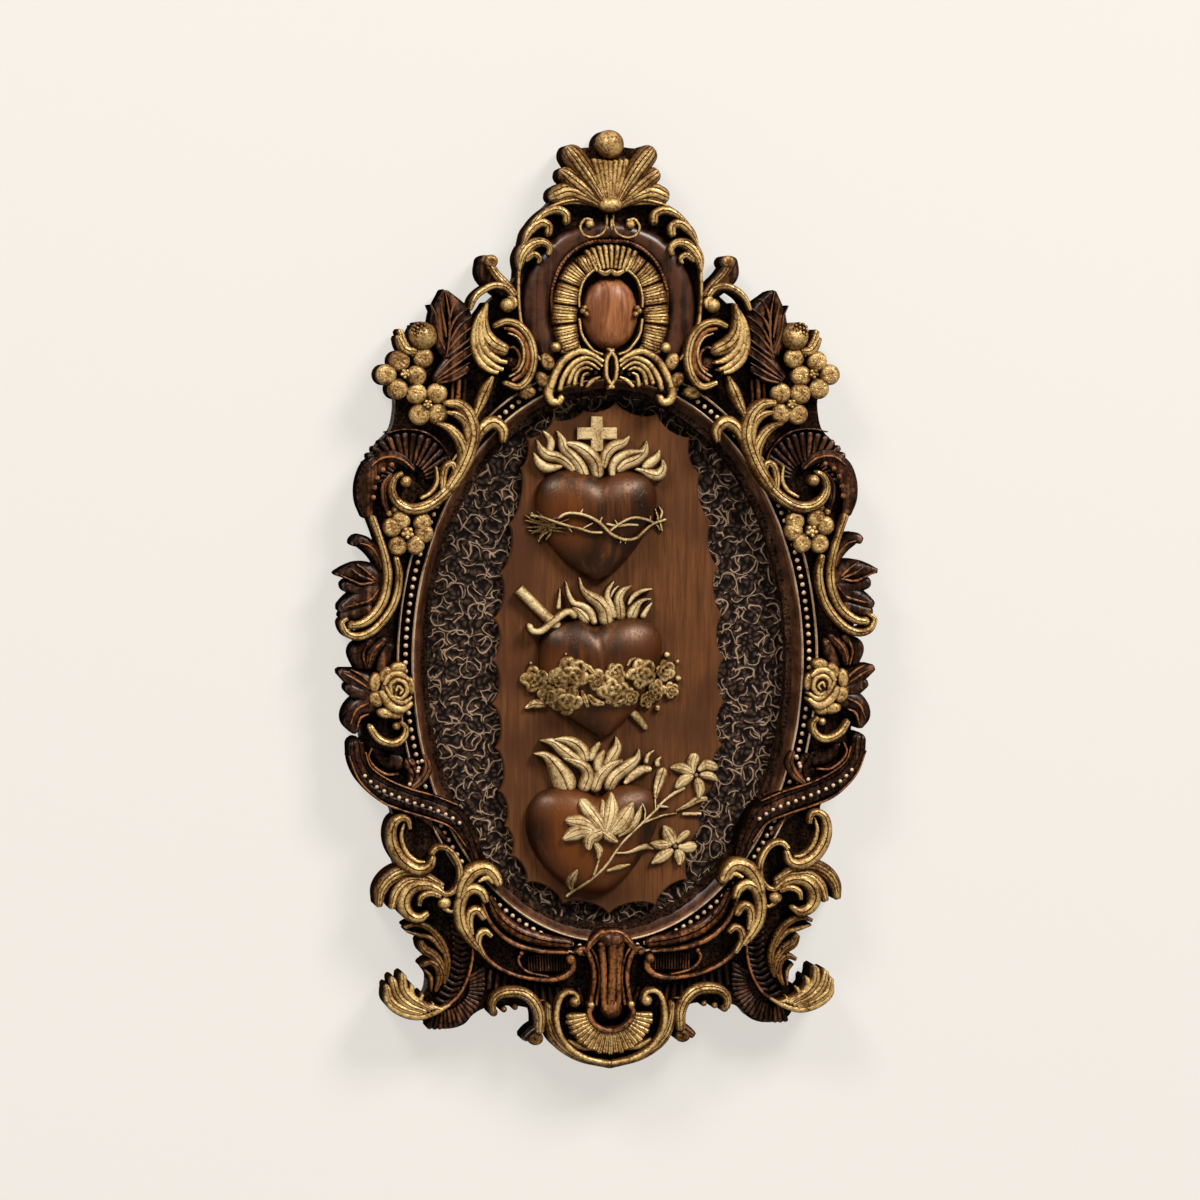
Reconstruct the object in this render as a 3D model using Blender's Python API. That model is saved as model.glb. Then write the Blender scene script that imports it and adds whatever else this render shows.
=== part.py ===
"""A carved walnut wall plaque: an ornate oval frame, and a board with three hearts inside it."""

import math

import bmesh
import bpy
import numpy as np
from mathutils import Vector, geometry

# Driving dimensions, in metres
HEIGHT = 0.600  # the frame from crest to pendant
FRAME_GROUND = 0.020  # the frame's plain ground, above its back
MOULDING = 0.027  # the gilt lines round the oval
SIGHT_LIP = 0.0175  # the inner edge of the moulding
BEAD_CHANNEL = 0.0235  # the hollow between the gilt lines
LOW_RELIEF = 0.027  # ribbed fans and brown leaves
MID_RELIEF = 0.031  # thin scrolls
HIGH_RELIEF = 0.035  # gilded scrolls
PROUD_RELIEF = 0.038  # buds, roses and the boldest leaves
REBATE_DEPTH = 0.0085  # the step at the back that takes the panel
REBATE_LAP = 0.004  # how far the step is wider than the opening
PANEL_THICKNESS = 0.0080
PANEL_SETBACK = 0.0003  # the panel's back, in front of the frame's back
BOARD_THICKNESS = 0.0060
BOARD_BEVEL = 0.0012
HEART_RISE = 0.0170
HEART_EDGE = 0.0035  # the upright edge of a heart, before it rounds over
FLAME_EDGE = 0.0025
FLAME_RISE = 0.0060
CROSS_THICKNESS = 0.0035
CROSS_ARM = 0.0068  # the width of the cross's arms
CROSS_TALL = 0.0224
CROSS_WIDE = 0.0256
CROSS_BEAM_SET = 0.0005  # the arms' middle stands this far above the cross's own
CROSS_BEVEL = 0.0006
CROWN_RISE = 0.0050  # how far the thorn wreath stands off its heart
ROSE_RISE = 0.0065
LILY_RISE = 0.0040
GRIP_RADIUS = 0.0042
BLADE_WIDTH = 0.0052
BLADE_THICKNESS = 0.0030
FIT = 0.0003  # the gap between pieces that touch
CUT_FIT = 0.0006  # the gap round a heart in what lies across it
CUT_SINK = 0.0040  # how far a cutter reaches behind its heart
OVERLAY_FILM = 0.0016  # the wood between the stems and roses, above the heart
DOME_FULLNESS = 2.4  # how flat a heart is on top
DOME_ROUNDING = 0.62  # how fast it falls at its edge
DRAPE = 0.22  # how far past a heart's edge a carving comes down, as a share of the heart

# The layout drawing is squared. The frame is 936 squares tall, and its squares were
# counted on a view from a little to the left, in which a point moves right as it rises.
SQUARES_TALL = 936
VIEW_TURN = math.radians(9)
CENTRE_LINE = 600.0  # of the back
MOUNT_LINE = 330.0  # the row of squares that the origin lies on
PANEL_ROW = 660.0  # the middle of the oval
OVAL_WIDE = 179.0  # half of the opening, in squares
OVAL_TALL = 265.0
SQUARE = HEIGHT / SQUARES_TALL
OVAL_HALF_X = OVAL_WIDE * SQUARE / math.cos(VIEW_TURN)
OVAL_HALF_Z = OVAL_TALL * SQUARE
OVAL_Z = (MOUNT_LINE - PANEL_ROW) * SQUARE

# Heights of the inner pieces above the frame's back
PANEL_FRONT = PANEL_SETBACK + PANEL_THICKNESS
BOARD_BACK = PANEL_FRONT + FIT
BOARD_FRONT = BOARD_BACK + BOARD_THICKNESS
HEART_BACK = BOARD_FRONT + FIT

# How fine the facets are
TURN_STEP = math.radians(34)  # the most a drawn line turns between its points
LONGEST_STEP = 19.5 * SQUARE
SAME_POINT = 0.4 * SQUARE  # points closer than this are one
WIDE_BAND = 6.5 * SQUARE  # bands and bosses wider than these have a second line inside
WIDE_BOSS = 9.4 * SQUARE
HIDDEN_SLACK = 0.0004  # a line this far under its neighbours still shows
OVAL_SIDES = 56
HEART_SIDES = 26
FRAME_DETAIL = 0.35  # the share of its front facets that a relief keeps when flat spots are merged
FLAME_DETAIL = 0.5
OVERLAY_DETAIL = 0.38

# Base colours, roughness and metallic
WALNUT = ((0.060, 0.030, 0.017), 0.45, 0.0)
DARK_GROUND = ((0.030, 0.020, 0.014), 0.75, 0.0)
BOARD_BROWN = ((0.110, 0.045, 0.022), 0.50, 0.0)
MAHOGANY = ((0.150, 0.050, 0.022), 0.28, 0.0)
PALE_GILT = ((0.560, 0.400, 0.190), 0.50, 0.5)


def clear_scene():
    """Start from nothing."""
    for found in list(bpy.data.objects):
        bpy.data.objects.remove(found, do_unlink=True)


def make_material(name, look):
    """A plain Principled material."""
    colour, roughness, metallic = look
    material = bpy.data.materials.new(name)
    material.use_nodes = True
    shader = material.node_tree.nodes["Principled BSDF"]
    shader.inputs["Base Color"].default_value = (*colour, 1.0)
    shader.inputs["Roughness"].default_value = roughness
    shader.inputs["Metallic"].default_value = metallic
    return material


def plan(points, height):
    """Squares of the drawing to metres on the plan, for a line that stands at a height."""
    points = np.asarray(points, float)
    centre = CENTRE_LINE + height * math.sin(VIEW_TURN) / SQUARE
    across = (points[:, 0] - centre) * SQUARE / math.cos(VIEW_TURN)
    return np.column_stack([across, (MOUNT_LINE - points[:, 1]) * SQUARE])


def mirrored(points):
    """The same points on the other side of the centre line."""
    return points * np.array([-1.0, 1.0])


def smooth_curve(points, closed=False, per_span=10):
    """A smooth curve through a few points."""
    if len(points) < 3:
        return np.asarray(points, float)
    if closed:
        padded = np.vstack([points[-1], points, points[:2]])
    else:
        padded = np.vstack([2 * points[0] - points[1], points, 2 * points[-1] - points[-2]])
    shares = np.linspace(0, 1, per_span, endpoint=False)[:, None]
    pieces = []
    for a, b, c, d in zip(padded[:-3], padded[1:-2], padded[2:-1], padded[3:]):
        pieces.append(0.5 * (2 * b + (c - a) * shares + (2 * a - 5 * b + 4 * c - d) * shares**2
                             + (3 * b - a - 3 * c + d) * shares**3))
    if not closed:
        pieces.append(points[-1:])
    return np.vstack(pieces)


def thinned(curve, turn=TURN_STEP, longest=LONGEST_STEP):
    """Where to keep points of a fine curve: closer where it bends."""
    kept = [0]
    turned = 0.0
    for i in range(1, len(curve) - 1):
        before, after = curve[i] - curve[i - 1], curve[i + 1] - curve[i]
        turned += abs(math.atan2(before[0] * after[1] - before[1] * after[0], before @ after))
        gone = np.linalg.norm(curve[i] - curve[kept[-1]])
        if turned > turn or gone > longest:
            kept.append(i)
            turned = 0.0
    kept.append(len(curve) - 1)
    return kept


def sides_of(path, half):
    """The two edges of a band, left and right of its path."""
    run = np.gradient(path, axis=0)
    run /= np.maximum(np.linalg.norm(run, axis=1, keepdims=True), 1e-12)
    across = np.column_stack([-run[:, 1], run[:, 0]]) * half[:, None]
    return path + across, path - across


class Band:
    """A carved band along a curve, such as a scroll or one lobe of a leaf."""

    def __init__(self, points, half, edge, top, flat=0.45, ribs=0):
        curve = smooth_curve(points)
        kept = thinned(curve)
        length = np.append(0, np.cumsum(np.linalg.norm(np.diff(curve, axis=0), axis=1)))
        share = length / length[-1]
        stops = np.linspace(0, 1, len(half))
        self.path = curve[kept]
        self.half = np.interp(share[kept], stops, half)
        self.edge, self.top, self.flat, self.ribs = edge, top, flat, ribs
        self.share = share[kept]
        if ribs:
            self.share = np.linspace(0, 1, 2 * ribs + 1)
            self.path = np.column_stack([np.interp(self.share, share, curve[:, k]) for k in (0, 1)])
            self.half = np.interp(self.share, stops, half)

    def measure(self, points):
        """How deep each point lies in the band, 1 on its path and 0 at its edge, and where along it."""
        depth = np.full(len(points), -9.0)
        along_band = np.zeros(len(points))
        for i in range(len(self.path) - 1):
            a, run = self.path[i], self.path[i + 1] - self.path[i]
            along = np.clip((points - a) @ run / max(run @ run, 1e-15), 0, 1)
            away = np.linalg.norm(points - a - along[:, None] * run, axis=1)
            found = 1 - away / (self.half[i] + (self.half[i + 1] - self.half[i]) * along)
            better = found > depth
            depth = np.where(better, found, depth)
            here = self.share[i] + (self.share[i + 1] - self.share[i]) * along
            along_band = np.where(better, here, along_band)
        return depth, along_band

    def heights(self, points):
        """The band's own surface, and minus infinity off the band."""
        depth, along = self.measure(points)
        rise = np.clip(depth / self.flat, 0, 1)
        if self.ribs:
            rise = rise * (0.72 + 0.28 * np.cos(2 * math.pi * along * self.ribs))
        return np.where(depth > -0.04, self.edge + (self.top - self.edge) * rise, -np.inf)

    def lines(self):
        """The lines that its facets follow: its outline and its crest."""
        left, right = sides_of(self.path, self.half)
        start, end = self.cap(0), self.cap(-1)
        outline = np.vstack([left, end, right[::-1], start])
        found = [(outline, True)]
        if self.ribs:
            inner_left, inner_right = sides_of(self.path, self.half * (1 - self.flat))
            found += [(inner_left, False), (inner_right, False)]
            found += [(np.array([a, b]), False) for a, b in zip(inner_left, inner_right)]
        elif self.half.max() > WIDE_BAND:
            shrunk = self.half * (1 - self.flat)
            inner_left, inner_right = sides_of(self.path, shrunk)
            found += [(inner_left, False), (inner_right, False)]
        else:
            found.append((self.path, False))
        return found

    def widened(self, gap):
        """The same band with a gap added all round."""
        wider = Band(self.path, self.half, self.edge, self.top, self.flat)
        wider.path, wider.half, wider.share = self.path, self.half + gap, self.share
        return wider

    def cap(self, which):
        """The point that rounds off one end of the band."""
        step = self.path[0] - self.path[1] if which == 0 else self.path[-1] - self.path[-2]
        step /= max(np.linalg.norm(step), 1e-12)
        return (self.path[which] + step * self.half[which] * 0.9)[None, :]


class Dome:
    """A rounded boss: a ball, a bud, a petal or a cabochon."""

    def __init__(self, centre, radius_x, radius_z, edge, top, sides=9):
        self.centre = np.asarray(centre, float)
        self.radii = np.array([radius_x, radius_z])
        self.edge, self.top, self.sides = edge, top, sides

    def heights(self, points):
        away = np.linalg.norm((points - self.centre) / self.radii, axis=1)
        rise = np.sqrt(np.clip(1 - away**2, 0, 1))
        return np.where(away < 1.03, self.edge + (self.top - self.edge) * rise, -np.inf)

    def widened(self, gap):
        """The same boss with a gap added all round."""
        return Dome(self.centre, *(self.radii + gap), self.edge, self.top, self.sides)

    def ring(self, share, turn=0.0):
        angles = 2 * math.pi * (np.arange(self.sides) + turn) / self.sides
        return self.centre + self.radii * share * np.column_stack([np.cos(angles), np.sin(angles)])

    def lines(self):
        found = [(self.ring(1.0), True)]
        if self.radii.max() > WIDE_BOSS:
            found.append((self.ring(0.72, 0.5), True))
        found.append((np.vstack([self.ring(0.28)[0], self.ring(0.28)[self.sides // 2]]), False))
        return found


class Fan:
    """Ribs that spread from a centre between two radii, as on a shell."""

    def __init__(self, centre, inner, outer, first, last, ribs, edge, top):
        self.centre = np.asarray(centre, float)
        self.inner, self.outer = inner, outer
        self.first, self.last = math.radians(first), math.radians(last)
        self.ribs, self.edge, self.top = ribs, edge, top

    def heights(self, points):
        offset = points - self.centre
        radius = np.linalg.norm(offset, axis=1)
        angle = np.mod(np.arctan2(offset[:, 1], offset[:, 0]) - self.first, 2 * math.pi)
        span = self.last - self.first
        slack = 0.02
        angle = np.where(angle > 2 * math.pi - slack, 0, angle)
        inside = (angle < span + slack) & (radius > self.inner * 0.97) & (radius < self.outer * 1.02)
        wave = 0.5 - 0.5 * np.cos(2 * math.pi * self.ribs * np.clip(angle / span, 0, 1))
        near = np.clip((self.outer - radius) / (self.outer - self.inner) / 0.3, 0, 1)
        level = self.edge + (self.top - self.edge) * near * (0.55 + 0.45 * wave)
        return np.where(inside, level, -np.inf)

    def at(self, radius, angles):
        return self.centre + radius * np.column_stack([np.cos(angles), np.sin(angles)])

    def lines(self):
        angles = np.linspace(self.first, self.last, 2 * self.ribs + 1)
        inner, outer = self.at(self.inner, angles), self.at(self.outer, angles)
        shoulder = self.at(self.outer - 0.3 * (self.outer - self.inner), angles)
        found = [(np.vstack([inner, outer[::-1]]), True), (shoulder, False)]
        return found + [(np.array([a, b]), False) for a, b in zip(inner, shoulder)]


class Oval:
    """The moulding round the opening: a slope, two raised lines and the bead channel between."""

    def __init__(self):
        steps = ((0, SIGHT_LIP), (13, BEAD_CHANNEL), (15.5, MOULDING), (18, BEAD_CHANNEL),
                 (27.5, BEAD_CHANNEL), (30, MOULDING), (33, FRAME_GROUND))
        self.steps = [(squares * SQUARE, level) for squares, level in steps]

    def offset(self, points):
        """How far outside the opening each point is."""
        place = points - np.array([0, OVAL_Z])
        radii = np.array([OVAL_HALF_X, OVAL_HALF_Z])
        share = np.linalg.norm(place / radii, axis=1)
        reach = np.linalg.norm(place, axis=1)
        slope = np.linalg.norm(place / radii**2, axis=1) / np.maximum(share, 1e-9)
        return np.where(share > 0.3, (share - 1) / np.maximum(slope, 1e-9), -reach)

    def heights(self, points):
        away = self.offset(points)
        across, level = zip(*self.steps)
        inside = (away > -0.0005) & (away < across[-1] + 1e-4)
        return np.where(inside, np.interp(away, across, level), -np.inf)

    def ring(self, out):
        angles = 2 * math.pi * (np.arange(OVAL_SIDES) + 0.5) / OVAL_SIDES
        facing = np.column_stack([np.cos(angles) / OVAL_HALF_X, np.sin(angles) / OVAL_HALF_Z])
        facing /= np.linalg.norm(facing, axis=1, keepdims=True)
        oval = np.column_stack([OVAL_HALF_X * np.cos(angles), OVAL_HALF_Z * np.sin(angles) + OVAL_Z])
        return oval + facing * out

    def lines(self):
        return [(self.ring(out), True) for out, _ in self.steps]


def inside_polygon(points, polygon):
    """Whether each point lies in a closed outline."""
    found = np.zeros(len(points), bool)
    x, z = points[:, 0], points[:, 1]
    for a, b in zip(polygon, np.roll(polygon, -1, axis=0)):
        crosses = (a[1] > z) != (b[1] > z)
        rise = b[1] - a[1] if abs(b[1] - a[1]) > 1e-15 else 1e-15
        found ^= crosses & (x < (b[0] - a[0]) * (z - a[1]) / rise + a[0])
    return found


class Relief:
    """A solid with a flat back and a carved front, built from motifs laid on a ground.

    The lift, where there is one, says how far what lies under the carving rises at a point.
    """

    def __init__(self, motifs, ground, back, outline=None, opening=None, rebate=None, detail=1.0,
                 lift=None):
        self.motifs, self.ground, self.back, self.detail = motifs, ground, back, detail
        self.outline, self.opening, self.rebate, self.lift = outline, opening, rebate, lift

    def heights(self, points, skip=None):
        level = np.full(len(points), self.ground)
        for motif in self.motifs:
            if motif is not skip:
                level = np.maximum(level, motif.heights(points))
        return level

    def covered(self, points):
        found = np.zeros(len(points), bool)
        if self.outline is not None:
            found |= inside_polygon(points, self.outline)
        for motif in self.motifs:
            found |= np.isfinite(motif.heights(points))
        if self.opening is not None:
            found &= ~inside_polygon(points, self.opening)
        return found

    def visible_lines(self):
        """The segments of every motif's lines that no other motif hides."""
        segments = []
        for motif in self.motifs:
            for line, closed in motif.lines():
                own = motif.heights(line)
                shown = np.maximum(own, self.ground) + HIDDEN_SLACK > self.heights(line, skip=motif)
                count = len(line) if closed else len(line) - 1
                for i in range(count):
                    j = (i + 1) % len(line)
                    if shown[i] or shown[j]:
                        segments.append((line[i], line[j]))
        for border in (self.outline, self.opening):
            if border is not None:
                segments += list(zip(border, np.roll(border, -1, axis=0)))
        return segments

    def triangulate(self):
        """A flat triangulation that follows every line, and which of its triangles are wood."""
        index, points, edges = {}, [], set()

        def number(point):
            key = (round(point[0] / SAME_POINT), round(point[1] / SAME_POINT))
            if key not in index:
                index[key] = len(points)
                points.append(Vector((key[0] * SAME_POINT, key[1] * SAME_POINT)))
            return index[key]

        for a, b in self.visible_lines():
            i, j = number(a), number(b)
            if i != j:
                edges.add((min(i, j), max(i, j)))
        low = np.min([tuple(p) for p in points], axis=0) - 0.02
        high = np.max([tuple(p) for p in points], axis=0) + 0.02
        for corner in ((low[0], low[1]), (high[0], low[1]), (high[0], high[1]), (low[0], high[1])):
            number(corner)
        flat, _, faces, *_ = geometry.delaunay_2d_cdt(points, sorted(edges), [], 0, 1e-7)
        flat = np.array([tuple(p) for p in flat])
        faces = np.array([f for f in faces], int)
        centres = flat[faces].mean(axis=1)
        return flat, faces, self.covered(centres)

    def tidy_mask(self, flat, faces, kept):
        """Fill enclosed gaps, drop loose islands, and mend places where wood meets at one point."""
        neighbours = {}
        for number, face in enumerate(faces):
            for a, b in ((face[0], face[1]), (face[1], face[2]), (face[2], face[0])):
                neighbours.setdefault((min(a, b), max(a, b)), []).append(number)
        beside = [[] for _ in faces]
        for pair in neighbours.values():
            if len(pair) == 2:
                beside[pair[0]].append(pair[1])
                beside[pair[1]].append(pair[0])

        def islands(value):
            seen = np.zeros(len(faces), bool)
            for start in range(len(faces)):
                if kept[start] == value and not seen[start]:
                    island, stack = [], [start]
                    seen[start] = True
                    while stack:
                        here = stack.pop()
                        island.append(here)
                        for other in beside[here]:
                            if kept[other] == value and not seen[other]:
                                seen[other] = True
                                stack.append(other)
                    yield island

        centre = flat[faces].mean(axis=1)
        hull_low, hull_high = flat.min(axis=0), flat.max(axis=0)
        for _ in range(6):
            for island in list(islands(False)):
                corners = flat[faces[island]].reshape(-1, 2)
                reaches_edge = (corners <= hull_low + 1e-9).any() or (corners >= hull_high - 1e-9).any()
                in_opening = self.opening is not None and inside_polygon(
                    centre[island], self.opening).any()
                if not reaches_edge and not in_opening:
                    kept[island] = True
            wood = sorted(islands(True), key=len)
            for island in wood[:-1]:
                kept[island] = False
            if not self.fill_pinches(flat, faces, kept):
                break
        return kept

    @staticmethod
    def fill_pinches(flat, faces, kept):
        """Where wood touches itself at one point only, fill the narrowest gap there."""
        around = {}
        for number, face in enumerate(faces):
            for corner in face:
                around.setdefault(int(corner), []).append(number)
        filled = 0
        for corner, ring in around.items():
            mask = [kept[number] for number in ring]
            if all(mask) or not any(mask):
                continue
            gaps = []
            loose = {number for number, wood in zip(ring, mask) if not wood}
            while loose:
                gap, stack = [], [loose.pop()]
                while stack:
                    here = stack.pop()
                    gap.append(here)
                    near = [n for n in loose if len(set(faces[n]) & set(faces[here])) == 2]
                    loose -= set(near)
                    stack += near
                gaps.append(gap)
            if len(gaps) > 1:
                def opening_angle(gap):
                    total = 0.0
                    for number in gap:
                        others = [int(v) for v in faces[number] if v != corner]
                        a, b = flat[others[0]] - flat[corner], flat[others[1]] - flat[corner]
                        total += abs(math.atan2(a[0] * b[1] - a[1] * b[0], a @ b))
                    return total
                for gap in sorted(gaps, key=opening_angle)[:-1]:
                    for number in gap:
                        kept[number] = True
                    filled += 1
        return filled

    def build(self, name, material):
        """The closed solid, with its front facing minus Y."""
        flat, faces, kept = self.triangulate()
        faces = faces[self.tidy_mask(flat, faces, kept)]
        used = np.unique(faces)
        renumber = -np.ones(len(flat), int)
        renumber[used] = np.arange(len(used))
        flat, faces = flat[used], renumber[faces]
        level = self.heights(flat)
        if self.lift is not None:
            level = level + self.lift(flat)
        mesh = bmesh.new()
        front = [mesh.verts.new((x, -h, z)) for (x, z), h in zip(flat, level)]
        for face in faces:
            mesh.faces.new([front[i] for i in face])
        if self.detail < 1:
            merge_flat_spots(mesh, self.detail)
        rims = [edge for edge in mesh.edges if len(edge.link_faces) == 1]
        loops = ordered_loops(rims)
        self.close_back(mesh, loops)
        bmesh.ops.recalc_face_normals(mesh, faces=mesh.faces)
        return finish_object(name, mesh, material)

    def close_back(self, mesh, loops):
        """Walls down to the back, and the back itself, with a step round the opening if there is one."""
        widest = max(loops, key=lambda loop: max(v.co.x for v in loop) - min(v.co.x for v in loop))
        for loop in loops:
            stepped = self.rebate is not None and loop is not widest
            depth = self.rebate if stepped else self.back
            foot = [mesh.verts.new((v.co.x, -depth, v.co.z)) for v in loop]
            bridge(mesh, loop, foot)
            if loop is widest:
                outer = foot
            elif stepped:
                ring = [mesh.verts.new((x, -depth, z)) for x, z in rebate_ring(0)]
                fill_between(mesh, ring, foot)
                step = [mesh.verts.new((v.co.x, -self.back, v.co.z)) for v in ring]
                bridge(mesh, ring, step)
                inner = step
        fill_between(mesh, outer, inner if self.rebate is not None else None)


def merge_flat_spots(mesh, share):
    """Merge facets where the surface bends least, down to a share of them."""
    data = bpy.data.meshes.new("front")
    mesh.to_mesh(data)
    holder = bpy.data.objects.new("front", data)
    bpy.context.collection.objects.link(holder)
    holder.modifiers.new("merge", "DECIMATE").ratio = share
    thinner = bpy.data.meshes.new_from_object(
        holder.evaluated_get(bpy.context.evaluated_depsgraph_get()))
    mesh.clear()
    mesh.from_mesh(thinner)
    bpy.data.objects.remove(holder, do_unlink=True)
    bpy.data.meshes.remove(thinner)


def rebate_ring(shrink):
    """The edge of the step at the frame's back, or of the panel that fits it when shrunk."""
    angles = 2 * math.pi * (np.arange(OVAL_SIDES) + 0.5) / OVAL_SIDES
    return np.column_stack([(OVAL_HALF_X + REBATE_LAP - shrink) * np.cos(angles),
                            (OVAL_HALF_Z + REBATE_LAP - shrink) * np.sin(angles) + OVAL_Z])


def ordered_loops(edges):
    """The closed loops of vertices that a set of edges makes."""
    joined = {}
    for edge in edges:
        a, b = edge.verts
        joined.setdefault(a, []).append(b)
        joined.setdefault(b, []).append(a)
    loops, left = [], set(joined)
    while left:
        start = min(left, key=lambda v: (v.co.x, v.co.z))
        loop, here, before = [start], joined[start][0], start
        while here is not start:
            loop.append(here)
            onward = [v for v in joined[here] if v is not before]
            here, before = onward[0], here
        left -= set(loop)
        loops.append(loop)
    return loops


def bridge(mesh, first, second):
    """Quads between two loops with the same number of points."""
    for i in range(len(first)):
        j = (i + 1) % len(first)
        mesh.faces.new([first[i], first[j], second[j], second[i]])


def fill_between(mesh, outer, inner=None):
    """Flat triangles over a loop, less an inner loop."""
    verts = list(outer) + list(inner or [])
    points = [Vector((v.co.x, v.co.z)) for v in verts]
    count = len(outer)
    edges = [(i, (i + 1) % count) for i in range(count)]
    if inner:
        edges += [(count + i, count + (i + 1) % len(inner)) for i in range(len(inner))]
    flat, _, faces, origins, *_ = geometry.delaunay_2d_cdt(points, edges, [], 0, 1e-9)
    places = np.array([tuple(p) for p in flat])
    outer_line = np.array([tuple(p) for p in points[:count]])
    inner_line = np.array([tuple(p) for p in points[count:]]) if inner else None
    middles = places[np.array([f for f in faces], int)].mean(axis=1)
    wanted = inside_polygon(middles, outer_line)
    if inner:
        wanted &= ~inside_polygon(middles, inner_line)
    for face, keep in zip(faces, wanted):
        if keep:
            mesh.faces.new([verts[origins[i][0]] for i in face])


def finish_object(name, mesh, material, smooth_angle=32):
    """A mesh object in the scene, shaded smooth over its gentle edges."""
    data = bpy.data.meshes.new(name)
    mesh.to_mesh(data)
    mesh.free()
    made = bpy.data.objects.new(name, data)
    bpy.context.collection.objects.link(made)
    data.materials.append(material)
    data.shade_smooth()
    data.set_sharp_from_angle(angle=math.radians(smooth_angle))
    return made


def band(points, half, top, edge=FRAME_GROUND, flat=0.45, ribs=0, sides=(1, -1)):
    """A band drawn on the left half, and its twin on the right."""
    path = plan(points, top)
    half = np.atleast_1d(np.asarray(half, float)) * SQUARE
    half = half if len(half) > 1 else np.repeat(half, 2)
    return [Band(path if side > 0 else mirrored(path), half, edge, top, flat, ribs) for side in sides]


def dome(centre, radius, top, edge=FRAME_GROUND, sides=(1, -1), facets=9):
    """A boss drawn on the left half, and its twin on the right."""
    place = plan([centre], top)
    wide, tall = np.broadcast_to(radius, 2) * SQUARE
    return [Dome((place if side > 0 else mirrored(place))[0], wide, tall, edge, top, facets)
            for side in sides]


def centred_dome(row, radius, top, edge=FRAME_GROUND, facets=12):
    """A boss on the centre line."""
    wide, tall = np.broadcast_to(radius, 2) * SQUARE
    return [Dome((0, (MOUNT_LINE - row) * SQUARE), wide, tall, edge, top, facets)]


def flower(centre, petals, radius, middle, top):
    """A small open flower: domed petals round a domed middle."""
    made = []
    for petal in petals:
        made += dome(petal, radius, top - 0.0025, facets=7)
    return made + dome(centre, middle, top, facets=7)


def crest_motifs():
    """The top of the frame: ball, shell of leaves, cartouche, horseshoe of flutes and clasp."""
    leaf = dict(top=HIGH_RELIEF - 0.002)
    made = centred_dome(147, 14.5, HIGH_RELIEF, edge=0.026)
    made += centred_dome(207, (12.5, 7), PROUD_RELIEF)
    made += band([(608, 206), (608, 184), (608, 162)], (5, 6, 4), HIGH_RELIEF, sides=(1,))
    made += band([(604, 206), (597, 182), (594, 158)], (3, 7, 4), **leaf)
    made += band([(600, 206), (588, 182), (573, 154)], (3, 8, 5), **leaf)
    made += band([(598, 207), (582, 191), (566, 174)], (3, 8, 4), top=MID_RELIEF)
    made += band([(597, 209), (576, 205), (555, 200)], (3, 6, 4), top=MID_RELIEF)
    made += band([(604, 218), (601, 232), (591, 238), (582, 231), (586, 222)], 2.4, MID_RELIEF)
    made += band([(592, 204), (570, 201), (550, 208), (535, 220), (524, 238), (518, 264),
                  (516, 300), (521, 330), (532, 352)], 3.0, MID_RELIEF)
    made += band([(532, 228), (542, 217), (555, 213), (565, 219), (565, 227)], (2, 4.5, 3.5), HIGH_RELIEF)
    made += band([(521, 248), (530, 231), (542, 225), (550, 232), (548, 241)], (2, 4.5, 3), HIGH_RELIEF)
    made += band([(518, 268), (525, 251), (538, 243), (550, 249), (548, 258)], (2, 5.5, 3), HIGH_RELIEF)
    made += band([(606, 229), (588, 232), (566, 241), (548, 262), (539, 294), (539, 322), (548, 350)],
                 (4, 6, 7, 7, 5), LOW_RELIEF)
    made += band([(607, 259), (590, 262), (574, 277), (565, 300), (564, 322), (571, 348)],
                 (10, 10.5, 11, 11, 10), HIGH_RELIEF - 0.002, ribs=9)
    made += centred_dome(314, (27, 36), HIGH_RELIEF, edge=0.022)
    made += band([(609, 349), (603, 360), (603, 376), (609, 388)], 2.6, HIGH_RELIEF)
    made += band([(601, 362), (590, 353), (575, 353), (562, 364), (554, 382), (560, 398)],
                 (2, 3.5, 4, 4), HIGH_RELIEF - 0.002)
    made += band([(600, 370), (589, 362), (577, 363), (568, 374), (566, 390)], (2, 3, 3), MID_RELIEF)
    made += dome((554, 348), 6, HIGH_RELIEF)
    return made


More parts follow.
